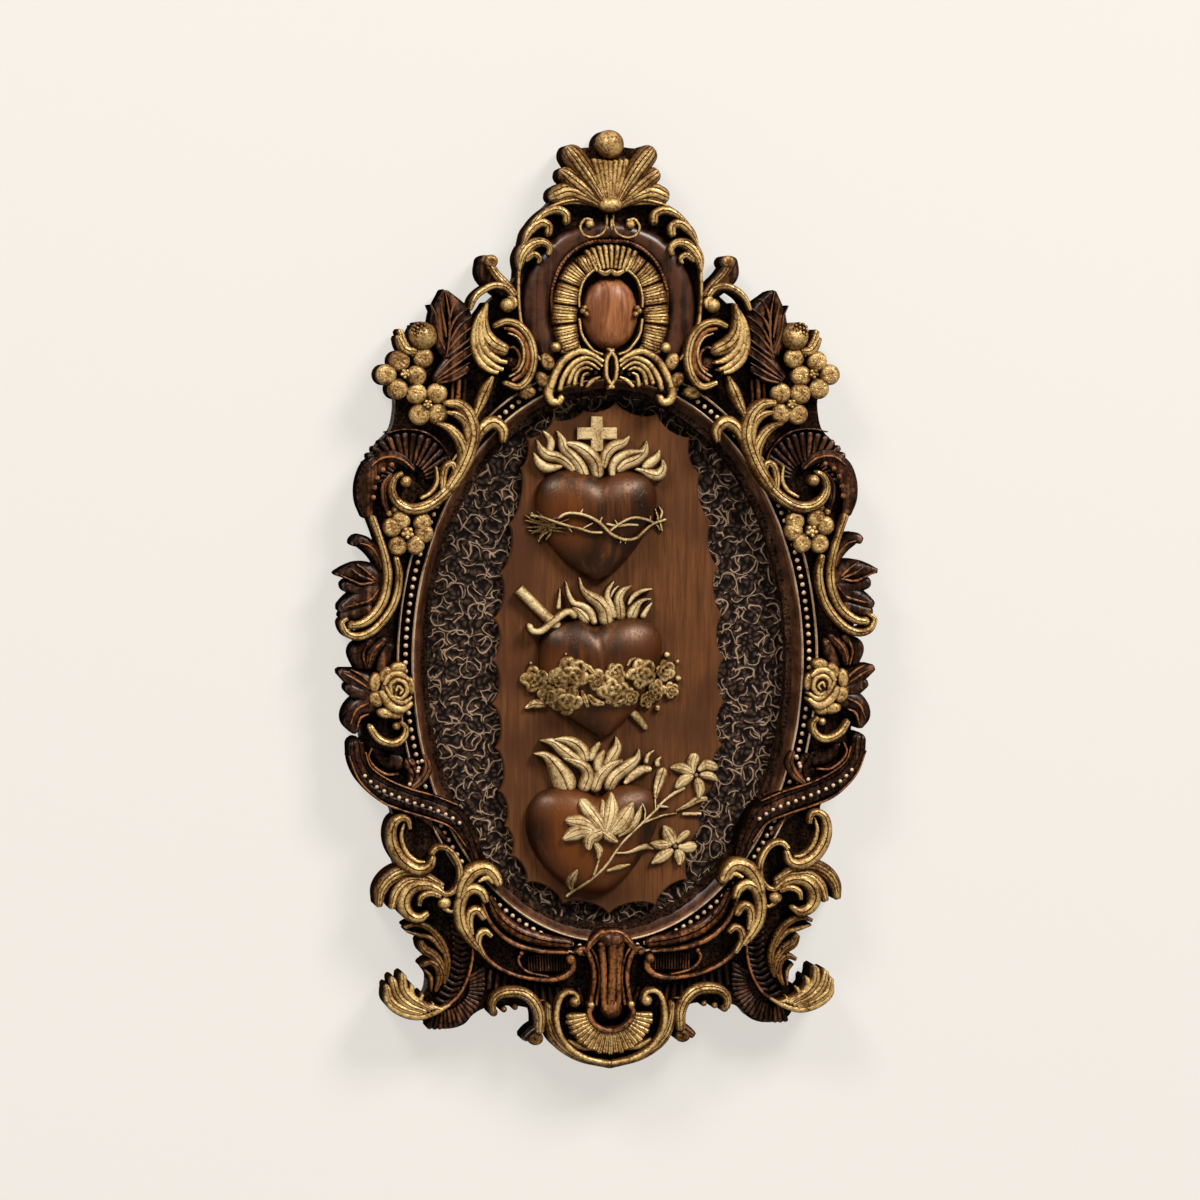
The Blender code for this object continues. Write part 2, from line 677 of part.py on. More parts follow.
def shoulder_motifs():
    """The shoulders: horn, scrolls, brown leaves, bud, small flowers and the tall gilded leaf."""
    made = band([(516, 297), (504, 286), (492, 276), (487, 266), (490, 259)], (4, 6, 7, 7, 5), MID_RELIEF)
    made += dome((491, 263), 6.5, HIGH_RELIEF)
    made += band([(471, 312), (476, 299), (488, 290), (502, 289), (512, 298)], (2, 3.5, 4, 3.5), HIGH_RELIEF)
    made += dome((508, 306), 7.5, PROUD_RELIEF)
    made += band([(486, 304), (481, 325), (484, 345), (492, 358), (500, 368)], (1.5, 7, 10, 11, 6),
                 PROUD_RELIEF)
    made += band([(494, 328), (510, 323), (526, 333), (533, 351), (531, 371), (520, 385), (506, 382)],
                 (3, 5.5, 6.5, 6.5, 6, 3.5), HIGH_RELIEF)
    made += dome((510, 366), 8, MID_RELIEF)
    made += band([(546, 352), (539, 368), (532, 386), (516, 396)], (4, 8, 9, 5), LOW_RELIEF)
    for tip, middle, half in (((443, 291), (446, 320), (5, 11, 3)), ((434, 307), (440, 330), (4, 9, 4)),
                              ((463, 303), (457, 326), (4, 10, 5)), ((471, 316), (463, 336), (4, 9, 6))):
        made += band([(449, 353), middle, tip], half, LOW_RELIEF + 0.002)
    made += band([(436, 374), (452, 358), (470, 346)], (2, 8, 4), LOW_RELIEF + 0.002)
    made += band([(436, 376), (452, 373), (465, 375)], (2, 6, 3), LOW_RELIEF + 0.002)
    made += dome((424, 337), 14.5, PROUD_RELIEF, edge=0.024)
    made += band([(412, 352), (403, 344), (398, 335)], (5, 9, 5), LOW_RELIEF)
    made += flower((405, 374), ((402, 362), (422, 359), (388, 374), (399, 388), (418, 375)), 9, 6,
                   HIGH_RELIEF)
    made += flower((428, 403), ((417, 393), (437, 394), (418, 412), (436, 412)), 9.5, 7, HIGH_RELIEF)
    made += band([(452, 480), (465, 452), (471, 430), (462, 408)], (4, 6, 9, 3), PROUD_RELIEF)
    made += band([(457, 468), (463, 444), (457, 419), (445, 404)], (3, 6, 6, 3), HIGH_RELIEF)
    made += band([(458, 462), (460, 443), (451, 429), (439, 421)], (3, 5, 6, 3), HIGH_RELIEF - 0.002)
    made += band([(475, 416), (485, 394), (489, 376)], (2, 6.5, 2), HIGH_RELIEF - 0.002)
    made += band([(477, 440), (482, 425), (492, 418), (501, 426), (502, 438)], (2, 5, 6, 5, 2.5),
                 HIGH_RELIEF)
    return made


def side_motifs():
    """The sides of the frame: ribbed fan and volute, flower, double scroll, leaves, rose and strap."""
    made = []
    ribs_at = plan([(408, 480)], LOW_RELIEF)
    for place, first, last in ((ribs_at, 15, 170), (mirrored(ribs_at), 10, 165)):
        made.append(Fan(place[0], 20 * SQUARE, 45 * SQUARE, first, last, 9, 0.022, LOW_RELIEF))
    made += band([(413, 468), (399, 459), (384, 461), (373, 472), (368, 488), (369, 504)],
                 (3, 5, 6.5, 7, 6, 4), LOW_RELIEF + 0.003)
    made += band([(462, 462), (452, 482), (440, 496), (425, 505), (410, 507), (398, 500), (393, 488),
                  (399, 477)], (5, 5.5, 5.5, 5, 4.5, 3), HIGH_RELIEF)
    made += dome((407, 481), 6.5, PROUD_RELIEF)
    made += band([(443, 490), (442, 473), (448, 463), (455, 469)], (3, 3.5, 4, 3), HIGH_RELIEF - 0.002)
    made += flower((408, 531), ((393, 526), (402, 517), (422, 520), (426, 533), (398, 544), (416, 544)),
                   8.5, 7, HIGH_RELIEF + 0.001)
    made += band([(376, 508), (383, 535), (389, 558), (389, 580), (383, 601), (371, 615), (354, 620)],
                 (2.5, 3.2, 3.4, 3.4, 3.5), HIGH_RELIEF - 0.001)
    made += band([(398, 551), (400, 577), (393, 602), (380, 621), (364, 631), (350, 627)],
                 (2.5, 3.4, 3.6, 4.5), HIGH_RELIEF)
    made += band([(380, 560), (366, 549), (355, 539)], (6, 10, 4), LOW_RELIEF)
    made += band([(384, 585), (360, 577), (337, 571)], (10, 15, 4), LOW_RELIEF)
    made += band([(380, 600), (358, 600), (344, 604)], (8, 11, 6), LOW_RELIEF - 0.001)
    made += band([(390, 652), (370, 650), (352, 652)], (6, 12, 7), LOW_RELIEF)
    made += band([(382, 680), (360, 676), (343, 670)], (5, 10, 4), LOW_RELIEF)
    made += band([(380, 705), (362, 712), (353, 724)], (6, 12, 6), LOW_RELIEF)
    for turn in range(6):
        angle = 2 * math.pi * (turn + 0.3) / 6
        made += dome((394 + 12 * math.cos(angle), 688 + 15 * math.sin(angle)), (10, 11),
                     HIGH_RELIEF - 0.001, facets=7)
    made += dome((394, 688), (12, 13), PROUD_RELIEF)
    made += band([(372, 722), (381, 734), (392, 739), (402, 734), (405, 724)], (2.5, 4, 4, 3.5),
                 HIGH_RELIEF - 0.001)
    made += dome((397, 723), 6, HIGH_RELIEF)
    made += band([(413, 750), (424, 762), (420, 778)], (6, 9, 5), MID_RELIEF)
    made += band([(361, 742), (364, 762), (380, 783), (408, 797), (440, 812), (462, 834)],
                 (7, 9, 10, 10, 10, 9), MID_RELIEF - 0.002, flat=0.3)
    return made


def lower_motifs():
    """The lower sides: double scroll, ridged shell, feather leaf, foot and tall gilded curls."""
    made = band([(411, 822), (404, 814), (396, 818), (392, 832), (397, 848), (408, 860), (422, 863),
                 (433, 854)], (3, 4.5, 5.5, 5.5, 5.5, 5.5, 4.5, 3), HIGH_RELIEF)
    made += band([(432, 847), (441, 842), (451, 849), (458, 862), (459, 876), (454, 888), (445, 891)],
                 3, HIGH_RELIEF - 0.001)
    made += band([(440, 880), (415, 872), (395, 874), (384, 886), (382, 900)], (4, 7, 9, 8, 6),
                 MID_RELIEF)
    made += band([(440, 884), (418, 876), (403, 882), (395, 898)], (3, 5.5, 6.5, 5), HIGH_RELIEF - 0.001)
    made += band([(443, 892), (425, 883), (411, 888), (405, 900), (413, 911), (425, 908)],
                 (4, 6.5, 7, 6.5, 5, 3), HIGH_RELIEF + 0.001)
    made += dome((446, 898), 6.5, HIGH_RELIEF)
    made += band([(404, 921), (426, 930), (439, 951), (436, 980)], (6, 12, 12, 6), MID_RELIEF - 0.001)
    made += band([(464, 908), (471, 940), (469, 965), (460, 988), (445, 1001), (422, 1006)], 2.6,
                 MID_RELIEF)
    made += band([(453, 914), (458, 936), (457, 958), (449, 980), (436, 992)], 8, LOW_RELIEF, ribs=9)
    made += band([(403, 1016), (430, 1021), (455, 1014), (472, 998), (482, 980)], (8, 11, 11, 10, 7),
                 LOW_RELIEF - 0.001, ribs=9)
    made += band([(432, 1003), (411, 1005), (395, 995), (388, 980), (395, 971)], (4, 8, 10, 9, 5),
                 HIGH_RELIEF - 0.001)
    made += band([(420, 996), (407, 990), (402, 976), (406, 969)], (3, 6, 6, 3), HIGH_RELIEF + 0.001)
    made += band([(494, 885), (494, 872), (485, 863), (471, 866), (461, 880), (459, 894)],
                 (3, 6, 7.5, 7.5, 6, 4), PROUD_RELIEF)
    made += band([(486, 898), (481, 886), (468, 884), (460, 896), (460, 912), (466, 930), (475, 943)],
                 (3, 5.5, 6, 6, 6, 5.5, 3), PROUD_RELIEF - 0.001)
    made += band([(484, 916), (477, 906), (468, 912), (470, 926)], (3, 5.5, 5.5, 3), HIGH_RELIEF)
    made += band([(490, 933), (482, 927), (476, 934), (482, 948), (500, 962), (528, 974), (552, 977),
                  (566, 968), (570, 957)], (3, 4.5, 3, 2.6, 2.6, 3), MID_RELIEF)
    made += band([(482, 898), (486, 916), (501, 933), (521, 943), (566, 948)], 2.8, MID_RELIEF - 0.002)
    made += band([(517, 950), (517, 960), (527, 969), (546, 974)], 2.4, MID_RELIEF - 0.002)
    return made


def pendant_motifs():
    """The foot of the frame: fluted console, shell and its border of scrolls."""
    made = []
    for across, top in ((-13, HIGH_RELIEF - 0.001), (-5, HIGH_RELIEF + 0.001)):
        made += band([(607 + across * 1.35, 938), (607 + across, 968), (607 + across * 0.75, 1000)],
                     (4.2, 3.6, 3.2), top, flat=0.8)
    made += centred_dome(935, (16, 13), PROUD_RELIEF + 0.001)
    made += centred_dome(1004, 10, HIGH_RELIEF + 0.001, facets=10)
    made += band([(589, 1002), (591, 972), (586, 950), (578, 944), (574, 951)], 2.8, HIGH_RELIEF - 0.001)
    shell = (0, (MOUNT_LINE - 1011) * SQUARE)
    made.append(Fan(shell, 18 * SQUARE, 43 * SQUARE, 188, 352, 15, 0.023, HIGH_RELIEF - 0.001))
    made += band([(591, 1004), (588, 1014), (593, 1024), (607, 1029)], 2.8, HIGH_RELIEF + 0.001)
    made += band([(578, 1003), (573, 992), (564, 990), (556, 1000), (554, 1020), (562, 1040),
                  (582, 1055), (607, 1060)], (3, 3, 3.2, 3.2, 3.2), HIGH_RELIEF - 0.001)
    made += dome((573, 999), 6, HIGH_RELIEF)
    made += band([(544, 1008), (549, 1030), (561, 1047), (581, 1059), (607, 1064)], (4, 7, 6, 4.5, 4),
                 MID_RELIEF - 0.001)
    made += band([(493, 1006), (494, 995), (505, 989), (521, 990), (533, 1000), (538, 1018), (535, 1034)],
                 (3.5, 5.5, 6, 6, 6, 5.5, 4), HIGH_RELIEF - 0.001)
    made += dome((532, 1038), 8, MID_RELIEF)
    return made


def frame_outline():
    """The frame's plain ground, which the carving stands on and reaches past."""
    left = plan([(600, 150), (576, 153), (563, 166), (553, 192), (541, 209), (524, 229), (514, 252),
                 (508, 280), (490, 297), (472, 313), (448, 328), (424, 348), (400, 360), (386, 380),
                 (386, 405), (382, 430), (370, 444), (362, 462), (361, 505), (367, 535), (364, 562),
                 (352, 590), (346, 622), (350, 660), (350, 705), (355, 745), (360, 775), (384, 812),
                 (386, 850), (394, 885), (400, 915), (412, 938), (417, 965), (406, 995), (402, 1018),
                 (430, 1028), (456, 1025), (474, 1012), (512, 1010), (524, 1030), (545, 1046),
                 (578, 1061), (600, 1065)], 0)
    left[0, 0] = left[-1, 0] = 0
    return np.vstack([left, mirrored(left)[-2:0:-1]])


def make_frame(material):
    """The frame, carved from one block, with its oval opening and the step behind it."""
    oval = Oval()
    motifs = [oval] + crest_motifs() + shoulder_motifs() + side_motifs() + lower_motifs()
    motifs += pendant_motifs()
    relief = Relief(motifs, FRAME_GROUND, 0.0, frame_outline(), oval.ring(0), REBATE_DEPTH,
                    FRAME_DETAIL)
    return relief.build("frame", material)


def prism(outline, back, front, bevel=0.0):
    """A flat plate with its upper edge eased."""
    mesh = bmesh.new()
    low = [mesh.verts.new((x, -back, z)) for x, z in outline]
    face = mesh.faces.new(low)
    made = bmesh.ops.extrude_face_region(mesh, geom=[face])
    upper = [v for v in made["geom"] if isinstance(v, bmesh.types.BMVert)]
    bmesh.ops.translate(mesh, vec=(0, back - front, 0), verts=upper)
    if bevel:
        rim = [e for e in mesh.edges if all(abs(v.co.y + front) < 1e-7 for v in e.verts)]
        bmesh.ops.bevel(mesh, geom=rim, offset=bevel, segments=1, affect="EDGES")
    bmesh.ops.recalc_face_normals(mesh, faces=mesh.faces)
    return mesh


def make_ground_panel(material):
    """The oval panel in the step behind the opening."""
    return finish_object("ground_panel", prism(rebate_ring(FIT), PANEL_SETBACK, PANEL_FRONT), material)


def scallop(start, end, depth, steps=2):
    """Points along a hollow between two cusps, the second cusp left out."""
    middle = (start + end) / 2
    away = middle - np.array([0, OVAL_Z])
    run = end - start
    inward = np.array([-run[1], run[0]]) / np.linalg.norm(run)
    inward *= -1 if inward @ away > 0 else 1
    shares = np.linspace(0, 1, steps + 2)[:-1, None]
    return start + run * shares + inward * depth * 4 * shares * (1 - shares)


def board_outline():
    """The board's cusped edge: hollows between cusps, from the top round by the left."""
    left = [(581, 410), (550, 419), (524, 438), (518, 468), (507, 524), (497.5, 573), (492, 618),
            (490.5, 659), (490.5, 703), (493.5, 747), (496.5, 790), (502.5, 825), (509, 855),
            (524, 882), (560, 904)]
    right = [(653, 907), (685, 882), (698, 830), (713, 786), (720, 747), (722, 703), (722, 659),
             (720, 615), (716, 568), (709, 522), (698, 474), (688, 437), (655, 414)]
    cusps = plan([(613, 402)] + left + [(606, 915)] + right, BOARD_FRONT)
    points = []
    for start, end in zip(cusps, np.roll(cusps, -1, axis=0)):
        depth = min(7.0 * SQUARE, 0.17 * np.linalg.norm(end - start))
        points.append(scallop(start, end, depth))
    return np.vstack(points)


def make_board(material):
    """The flat board that carries the hearts."""
    mesh = prism(board_outline(), BOARD_BACK, BOARD_FRONT, BOARD_BEVEL)
    return finish_object("scalloped_board", mesh, material)


def make_cross(material):
    """The small plain cross."""
    middle = plan([(593.5, 434)], BOARD_FRONT)[0]
    arm, wide, tall = CROSS_ARM / 2, CROSS_WIDE / 2, CROSS_TALL / 2
    beam = CROSS_BEAM_SET
    outline = [(-arm, tall), (-arm, arm + beam), (-wide, arm + beam), (-wide, beam - arm),
               (-arm, beam - arm), (-arm, -tall), (arm, -tall), (arm, beam - arm), (wide, beam - arm),
               (wide, arm + beam), (arm, arm + beam), (arm, tall)]
    mesh = prism(middle + np.array(outline), HEART_BACK, HEART_BACK + CROSS_THICKNESS, CROSS_BEVEL)
    return finish_object("cross", mesh, material)


def heart_dome(share):
    """How high a heart stands, from 0 at its middle to 1 at its edge."""
    return HEART_EDGE + (HEART_RISE - HEART_EDGE) * (1 - share**DOME_FULLNESS) ** DOME_ROUNDING


def heart_rings(points, swell=0.0):
    """The rings of a heart's dome, from its foot to near its crown, and the crown's place."""
    outline = smooth_curve(plan(points, BOARD_FRONT + HEART_RISE / 2), closed=True, per_span=12)
    lengths = np.append(0, np.cumsum(np.linalg.norm(np.diff(outline, axis=0), axis=1)))
    spots = np.linspace(0, lengths[-1], HEART_SIDES, endpoint=False)
    outline = np.column_stack([np.interp(spots, lengths, outline[:, k]) for k in (0, 1)])
    centre = outline.mean(axis=0)
    outward = outline - centre
    outward /= np.linalg.norm(outward, axis=1, keepdims=True)
    foot = outline + outward * swell
    rings = [(foot, HEART_BACK), (foot, HEART_BACK + HEART_EDGE + swell)]
    for share in (0.95, 0.84, 0.66, 0.4):
        ring = centre + (outline - centre) * share + outward * swell
        rings.append((ring, HEART_BACK + heart_dome(share) + swell))
    return rings, centre, HEART_BACK + HEART_RISE + swell


def heart_mesh(points, swell=0.0, sink=0.0):
    """A heart's closed dome; swollen and sunk, it is the cutter for what lies across it."""
    rings, centre, crown = heart_rings(points, swell)
    mesh = bmesh.new()
    loops = []
    for number, (ring, level) in enumerate(rings):
        level = level - sink if number == 0 else level
        loops.append([mesh.verts.new((x, -level, z)) for x, z in ring])
    for lower, upper in zip(loops, loops[1:]):
        bridge(mesh, lower, upper)
    peak = mesh.verts.new((centre[0], -crown, centre[1]))
    top = loops[-1]
    for i in range(len(top)):
        mesh.faces.new([top[i], top[(i + 1) % len(top)], peak])
    mesh.faces.new(loops[0])
    bmesh.ops.recalc_face_normals(mesh, faces=mesh.faces)
    return mesh


UPPER_HEART = [(600, 477), (582, 471), (560, 470), (541, 480), (534, 500), (540, 527), (555, 552),
               (575, 570), (597, 581), (619, 566), (639, 541), (652, 518), (655, 494), (646, 477),
               (628, 471), (612, 472)]
MIDDLE_HEART = [(595, 626), (580, 620), (560, 620), (543, 630), (537, 652), (542, 682), (556, 707),
                (578, 725), (603, 737), (625, 719), (644, 696), (657, 668), (660, 642), (652, 625),
                (632, 617), (610, 619)]
LOWER_HEART = [(597, 797), (580, 789), (556, 786), (535, 794), (525, 815), (528, 842), (545, 868),
               (570, 886), (598, 894), (622, 880), (643, 852), (655, 826), (657, 803), (647, 789),
               (628, 784), (610, 788)]


def make_heart(name, points, material):
    """One polished heart."""
    return finish_object(name, heart_mesh(points), material, smooth_angle=50)


def make_cutter(name, points):
    """A slightly larger heart, kept as the shape that is cut from what lies across it."""
    cutter = finish_object(name, heart_mesh(points, CUT_FIT, CUT_SINK), make_material(name, MAHOGANY))
    cutter.hide_render = True
    cutter.display_type = "WIRE"
    return cutter


def cut_with(target, *cutters):
    """Take the cutters' shapes out of a piece."""
    for cutter in cutters:
        cut = target.modifiers.new(cutter.name, "BOOLEAN")
        cut.operation = "DIFFERENCE"
        cut.solver = "EXACT"
        cut.object = cutter
    return target


def make_clearance(name, motifs):
    """An upright block of a carving's outline, kept as the shape that is cut from what lies behind it."""
    block = Relief([motif.widened(CUT_FIT) for motif in motifs], HEART_BACK + 2 * HEART_RISE,
                   HEART_BACK - CUT_FIT, detail=OVERLAY_DETAIL)
    cutter = block.build(name, make_material(name, PALE_GILT))
    cutter.hide_render = True
    cutter.display_type = "WIRE"
    return cutter


def applied(strokes, level, rise, edge):
    """Bands of one applied carving: each stroke is its points, half widths and share of the rise."""
    made = []
    for points, half, share in strokes:
        top = level + edge + (rise - edge) * share
        path = plan(points, top)
        made.append(Band(path, np.asarray(half, float) * SQUARE, level + edge, top, 0.6))
    return made


def make_flames(name, strokes, material, *cutters):
    """Tongues of flame that rise from behind the top of a heart."""
    motifs = applied(strokes, HEART_BACK, FLAME_RISE + FLAME_EDGE, FLAME_EDGE)
    relief = Relief(motifs, HEART_BACK + FLAME_EDGE, HEART_BACK, detail=FLAME_DETAIL)
    return cut_with(relief.build(name, material), *cutters)


UPPER_FLAMES = [
    ([(562, 466), (585, 468), (612, 468), (640, 467)], (5, 6, 6, 5), 0.4),
    ([(586, 476), (560, 470), (541, 466), (533, 455)], (4, 6, 5, 2), 0.6),
    ([(588, 474), (565, 462), (547, 456), (536, 441)], (4, 6, 5, 2), 0.8),
    ([(592, 474), (572, 458), (556, 448), (544, 433)], (4, 6, 6, 2), 0.9),
    ([(596, 474), (582, 460), (568, 448), (555, 434)], (4, 7, 6, 2), 1.0),
    ([(600, 476), (592, 464), (580, 455), (569, 446)], (4, 7, 6, 3), 0.8),
    ([(602, 476), (606, 460), (617, 449), (627, 438)], (4, 7, 7, 2), 1.0),
    ([(606, 476), (618, 462), (634, 456), (644, 443)], (4, 6, 7, 2), 0.9),
    ([(610, 476), (628, 466), (646, 464), (656, 452)], (4, 6, 6, 2), 0.8),
    ([(618, 476), (638, 474), (656, 474), (662, 462)], (4, 6, 6, 3), 0.7),
]
MIDDLE_FLAMES = [
    ([(582, 611), (594, 614), (612, 613), (632, 611)], (4, 6, 6, 4), 0.4),
    ([(590, 626), (578, 618), (566, 606), (557, 590)], (4, 6, 5, 1.5), 0.7),
    ([(592, 626), (584, 612), (572, 600), (564, 583)], (4, 6, 5, 1.5), 0.9),
    ([(596, 626), (594, 608), (584, 594), (577, 579)], (4, 7, 5, 1.5), 1.0),
    ([(600, 626), (602, 608), (606, 594), (611, 582)], (4, 7, 5, 1.5), 1.0),
    ([(604, 624), (610, 608), (614, 596), (619, 585)], (4, 6, 4, 1.5), 0.8),
    ([(606, 624), (618, 610), (624, 598), (629, 586)], (4, 6, 5, 1.5), 0.9),
    ([(610, 624), (630, 612), (642, 602), (650, 588)], (4, 6, 5, 1.5), 0.8),
    ([(614, 625), (634, 618), (646, 614), (650, 602)], (4, 5, 5, 2), 0.7),
]
LOWER_FLAMES = [
    ([(562, 776), (585, 781), (610, 781), (638, 777)], (6, 7, 7, 5), 0.4),
    ([(590, 794), (566, 784), (546, 770), (533, 752)], (4, 7, 6, 2), 0.7),
    ([(594, 794), (572, 776), (552, 758), (539, 740)], (4, 7, 7, 2), 0.9),
    ([(598, 794), (582, 772), (566, 752), (554, 738)], (4, 8, 7, 3), 1.0),
    ([(602, 794), (598, 774), (592, 756), (594, 742)], (4, 8, 6, 2), 1.0),
    ([(604, 792), (608, 772), (608, 754), (614, 738)], (4, 7, 6, 2), 0.8),
    ([(606, 792), (616, 774), (628, 764), (637, 751)], (4, 7, 6, 2), 1.0),
    ([(610, 792), (626, 782), (642, 776), (650, 766)], (4, 6, 6, 2), 0.9),
    ([(616, 792), (632, 786), (643, 780)], (4, 5, 3), 0.7),
]


def heart_lift(points, heart):
    """How far a carving is lifted by the heart under it, and by the slope that it comes down on."""
    rings, centre, _ = heart_rings(heart)
    outline = rings[0][0]
    bearings = np.arctan2(outline[:, 1] - centre[1], outline[:, 0] - centre[0])
    reach = np.linalg.norm(outline - centre, axis=1)
    order = np.argsort(bearings)
    offset = points - centre
    limit = np.interp(np.arctan2(offset[:, 1], offset[:, 0]), bearings[order], reach[order],
                      period=2 * math.pi)
    share = np.linalg.norm(offset, axis=1) / limit
    beside = HEART_EDGE * np.clip(1 - (share - 1) / DRAPE, 0, 1)
    return np.where(share < 1, heart_dome(np.minimum(share, 1)), beside)


def make_overlay(name, motifs, heart, cutter, material):
    """An applied carving that runs across a heart and down beside it."""
    relief = Relief(motifs, HEART_BACK + OVERLAY_FILM, HEART_BACK, detail=OVERLAY_DETAIL,
                    lift=lambda spots: heart_lift(spots, heart))
    return cut_with(relief.build(name, material), cutter)


def make_crown(cutter, material):
    """The twisted wreath of thorns across the upper heart."""
    edge = 0.0022
    strands = [
        ([(530, 517), (546, 520), (562, 526), (578, 530), (597, 531), (612, 522), (632, 516), (652, 521)],
         (4, 3.5, 3, 3, 3), 1.0),
        ([(552, 521), (568, 512), (582, 515), (602, 531), (622, 539), (642, 530), (662, 518)],
         (3, 3, 3, 3, 4), 0.8),
    ]
    thorns = [((534, 518), (527, 508)), ((546, 520), (541, 538)), ((560, 525), (566, 536)),
              ((575, 514), (580, 504)), ((590, 531), (584, 540)), ((612, 523), (606, 512)),
              ((628, 538), (622, 548)), ((652, 524), (660, 534)), ((655, 520), (650, 508))]
    strands += [([root, tip], (2.6, 1.4), 0.5) for root, tip in thorns]
    motifs = applied(strands, HEART_BACK, CROWN_RISE, edge)
    return make_overlay("crown_of_thorns", motifs, UPPER_HEART, cutter, material)


def rose_motifs(centre, radius, level):
    """One rose: a ring of petals round a raised heart of petals."""
    made = []
    for turn in range(5):
        angle = 2 * math.pi * turn / 5 + centre[0]
        petal = (centre[0] + 0.55 * radius * math.cos(angle), centre[1] + 0.55 * radius * math.sin(angle))
        place = plan([petal], HEART_BACK + HEART_RISE)[0]
        made.append(Dome(place, 0.52 * radius * SQUARE, 0.52 * radius * SQUARE, level + 0.003,
                         level + ROSE_RISE - 0.0015, 6))
    place = plan([centre], HEART_BACK + HEART_RISE)[0]
    made.append(Dome(place, 0.5 * radius * SQUARE, 0.5 * radius * SQUARE, level + 0.003,
                     level + ROSE_RISE, 6))
    return made


def garland_motifs():
    """The roses and leaves of the garland."""
    roses = [((533, 678), 13), ((565, 673), 17), ((560, 698), 15), ((603, 684), 18), ((583, 690), 12),
             ((637, 672), 15), ((655, 690), 10), ((662, 673), 11), ((628, 694), 10), ((548, 686), 12)]
    motifs = []
    for centre, radius in roses:
        motifs += rose_motifs(centre, radius, HEART_BACK)
    leaves = [([(545, 700), (534, 704), (525, 702)], (3, 5, 2), 0.3),
              ([(590, 698), (582, 706), (574, 704)], (3, 4, 2), 0.3),
              ([(662, 672), (670, 682), (673, 690)], (3, 5, 4), 0.4)]
    return motifs + applied(leaves, HEART_BACK, ROSE_RISE, 0.003)


def lily_motifs():
    """The stems, leaves, buds and flowers of the lily spray."""
    edge = 0.002
    strokes = [([(565, 895), (582, 880), (602, 863), (616, 845), (631, 828), (648, 811), (662, 800),
                 (680, 790)], (2, 2.5, 2.5, 2.5), 0.6),
               ([(586, 874), (592, 856), (597, 836)], (2.2, 2.4), 0.6),
               ([(612, 851), (630, 850), (652, 848)], (2.2, 2.2), 0.5),
               ([(640, 820), (656, 815), (676, 813)], (2.2, 2.2), 0.5),
               ([(662, 800), (655, 788), (652, 776)], (2.2, 4, 4), 0.7),
               ([(674, 813), (688, 808), (702, 800)], (2.2, 4, 2), 0.7),
               ([(598, 870), (610, 866), (624, 862)], (2, 4, 2), 0.5),
               ([(580, 884), (573, 880), (568, 872)], (2, 4, 2), 0.5)]
    lilies = [((597, 831), ((578, 800), (606, 792), (628, 801), (559, 817), (558, 837), (594, 855),
                            (618, 838), (638, 806)), 7),
              ((694, 778), ((668, 768), (690, 758), (712, 765), (716, 781), (698, 797), (674, 788)), 5.5),
              ((672, 848), ((648, 844), (662, 828), (685, 834), (690, 850), (676, 866), (650, 863)), 5)]
    for middle, tips, half in lilies:
        for number, tip in enumerate(tips):
            between = tuple((np.array(middle) + np.array(tip)) / 2)
            strokes.append(([middle, between, tip], (3, half, 1.2), 0.8 + 0.2 * (number % 2)))
    return applied(strokes, HEART_BACK, LILY_RISE, edge)


def hilt_motifs():
    """The dagger's grip and its curled guard."""
    level, top = HEART_BACK, HEART_BACK + 2 * GRIP_RADIUS
    grip = plan([(517, 588), (566, 636)], top)
    guard = plan([(526, 622), (531, 631), (541, 631), (551, 622), (561, 613), (570, 611), (575, 618)], top)
    half = GRIP_RADIUS
    return [Band(grip, np.array([half * 1.12, half, half * 0.9]), level + half, top, 0.7),
            Band(guard, np.array([0.45, 0.5, 0.6, 0.6, 0.6, 0.5, 0.45]) * 2 * half, level + half,
                 top - 0.001, 0.7)]


def make_dagger_point(material, *cutters):
    """The dagger's point, which shows past the lower edge of the heart."""
    level = HEART_BACK
    blade_points = plan([(622, 704), (632, 717), (644, 730)], level + BLADE_THICKNESS)
    blade = Band(blade_points, np.array([1.0, 0.9, 0.25]) * BLADE_WIDTH / 2, level + 0.0015,
                 level + BLADE_THICKNESS, 0.95)
    point = Relief([blade], level + 0.0015, level).build("dagger_point", material)
    return cut_with(point, *cutters)


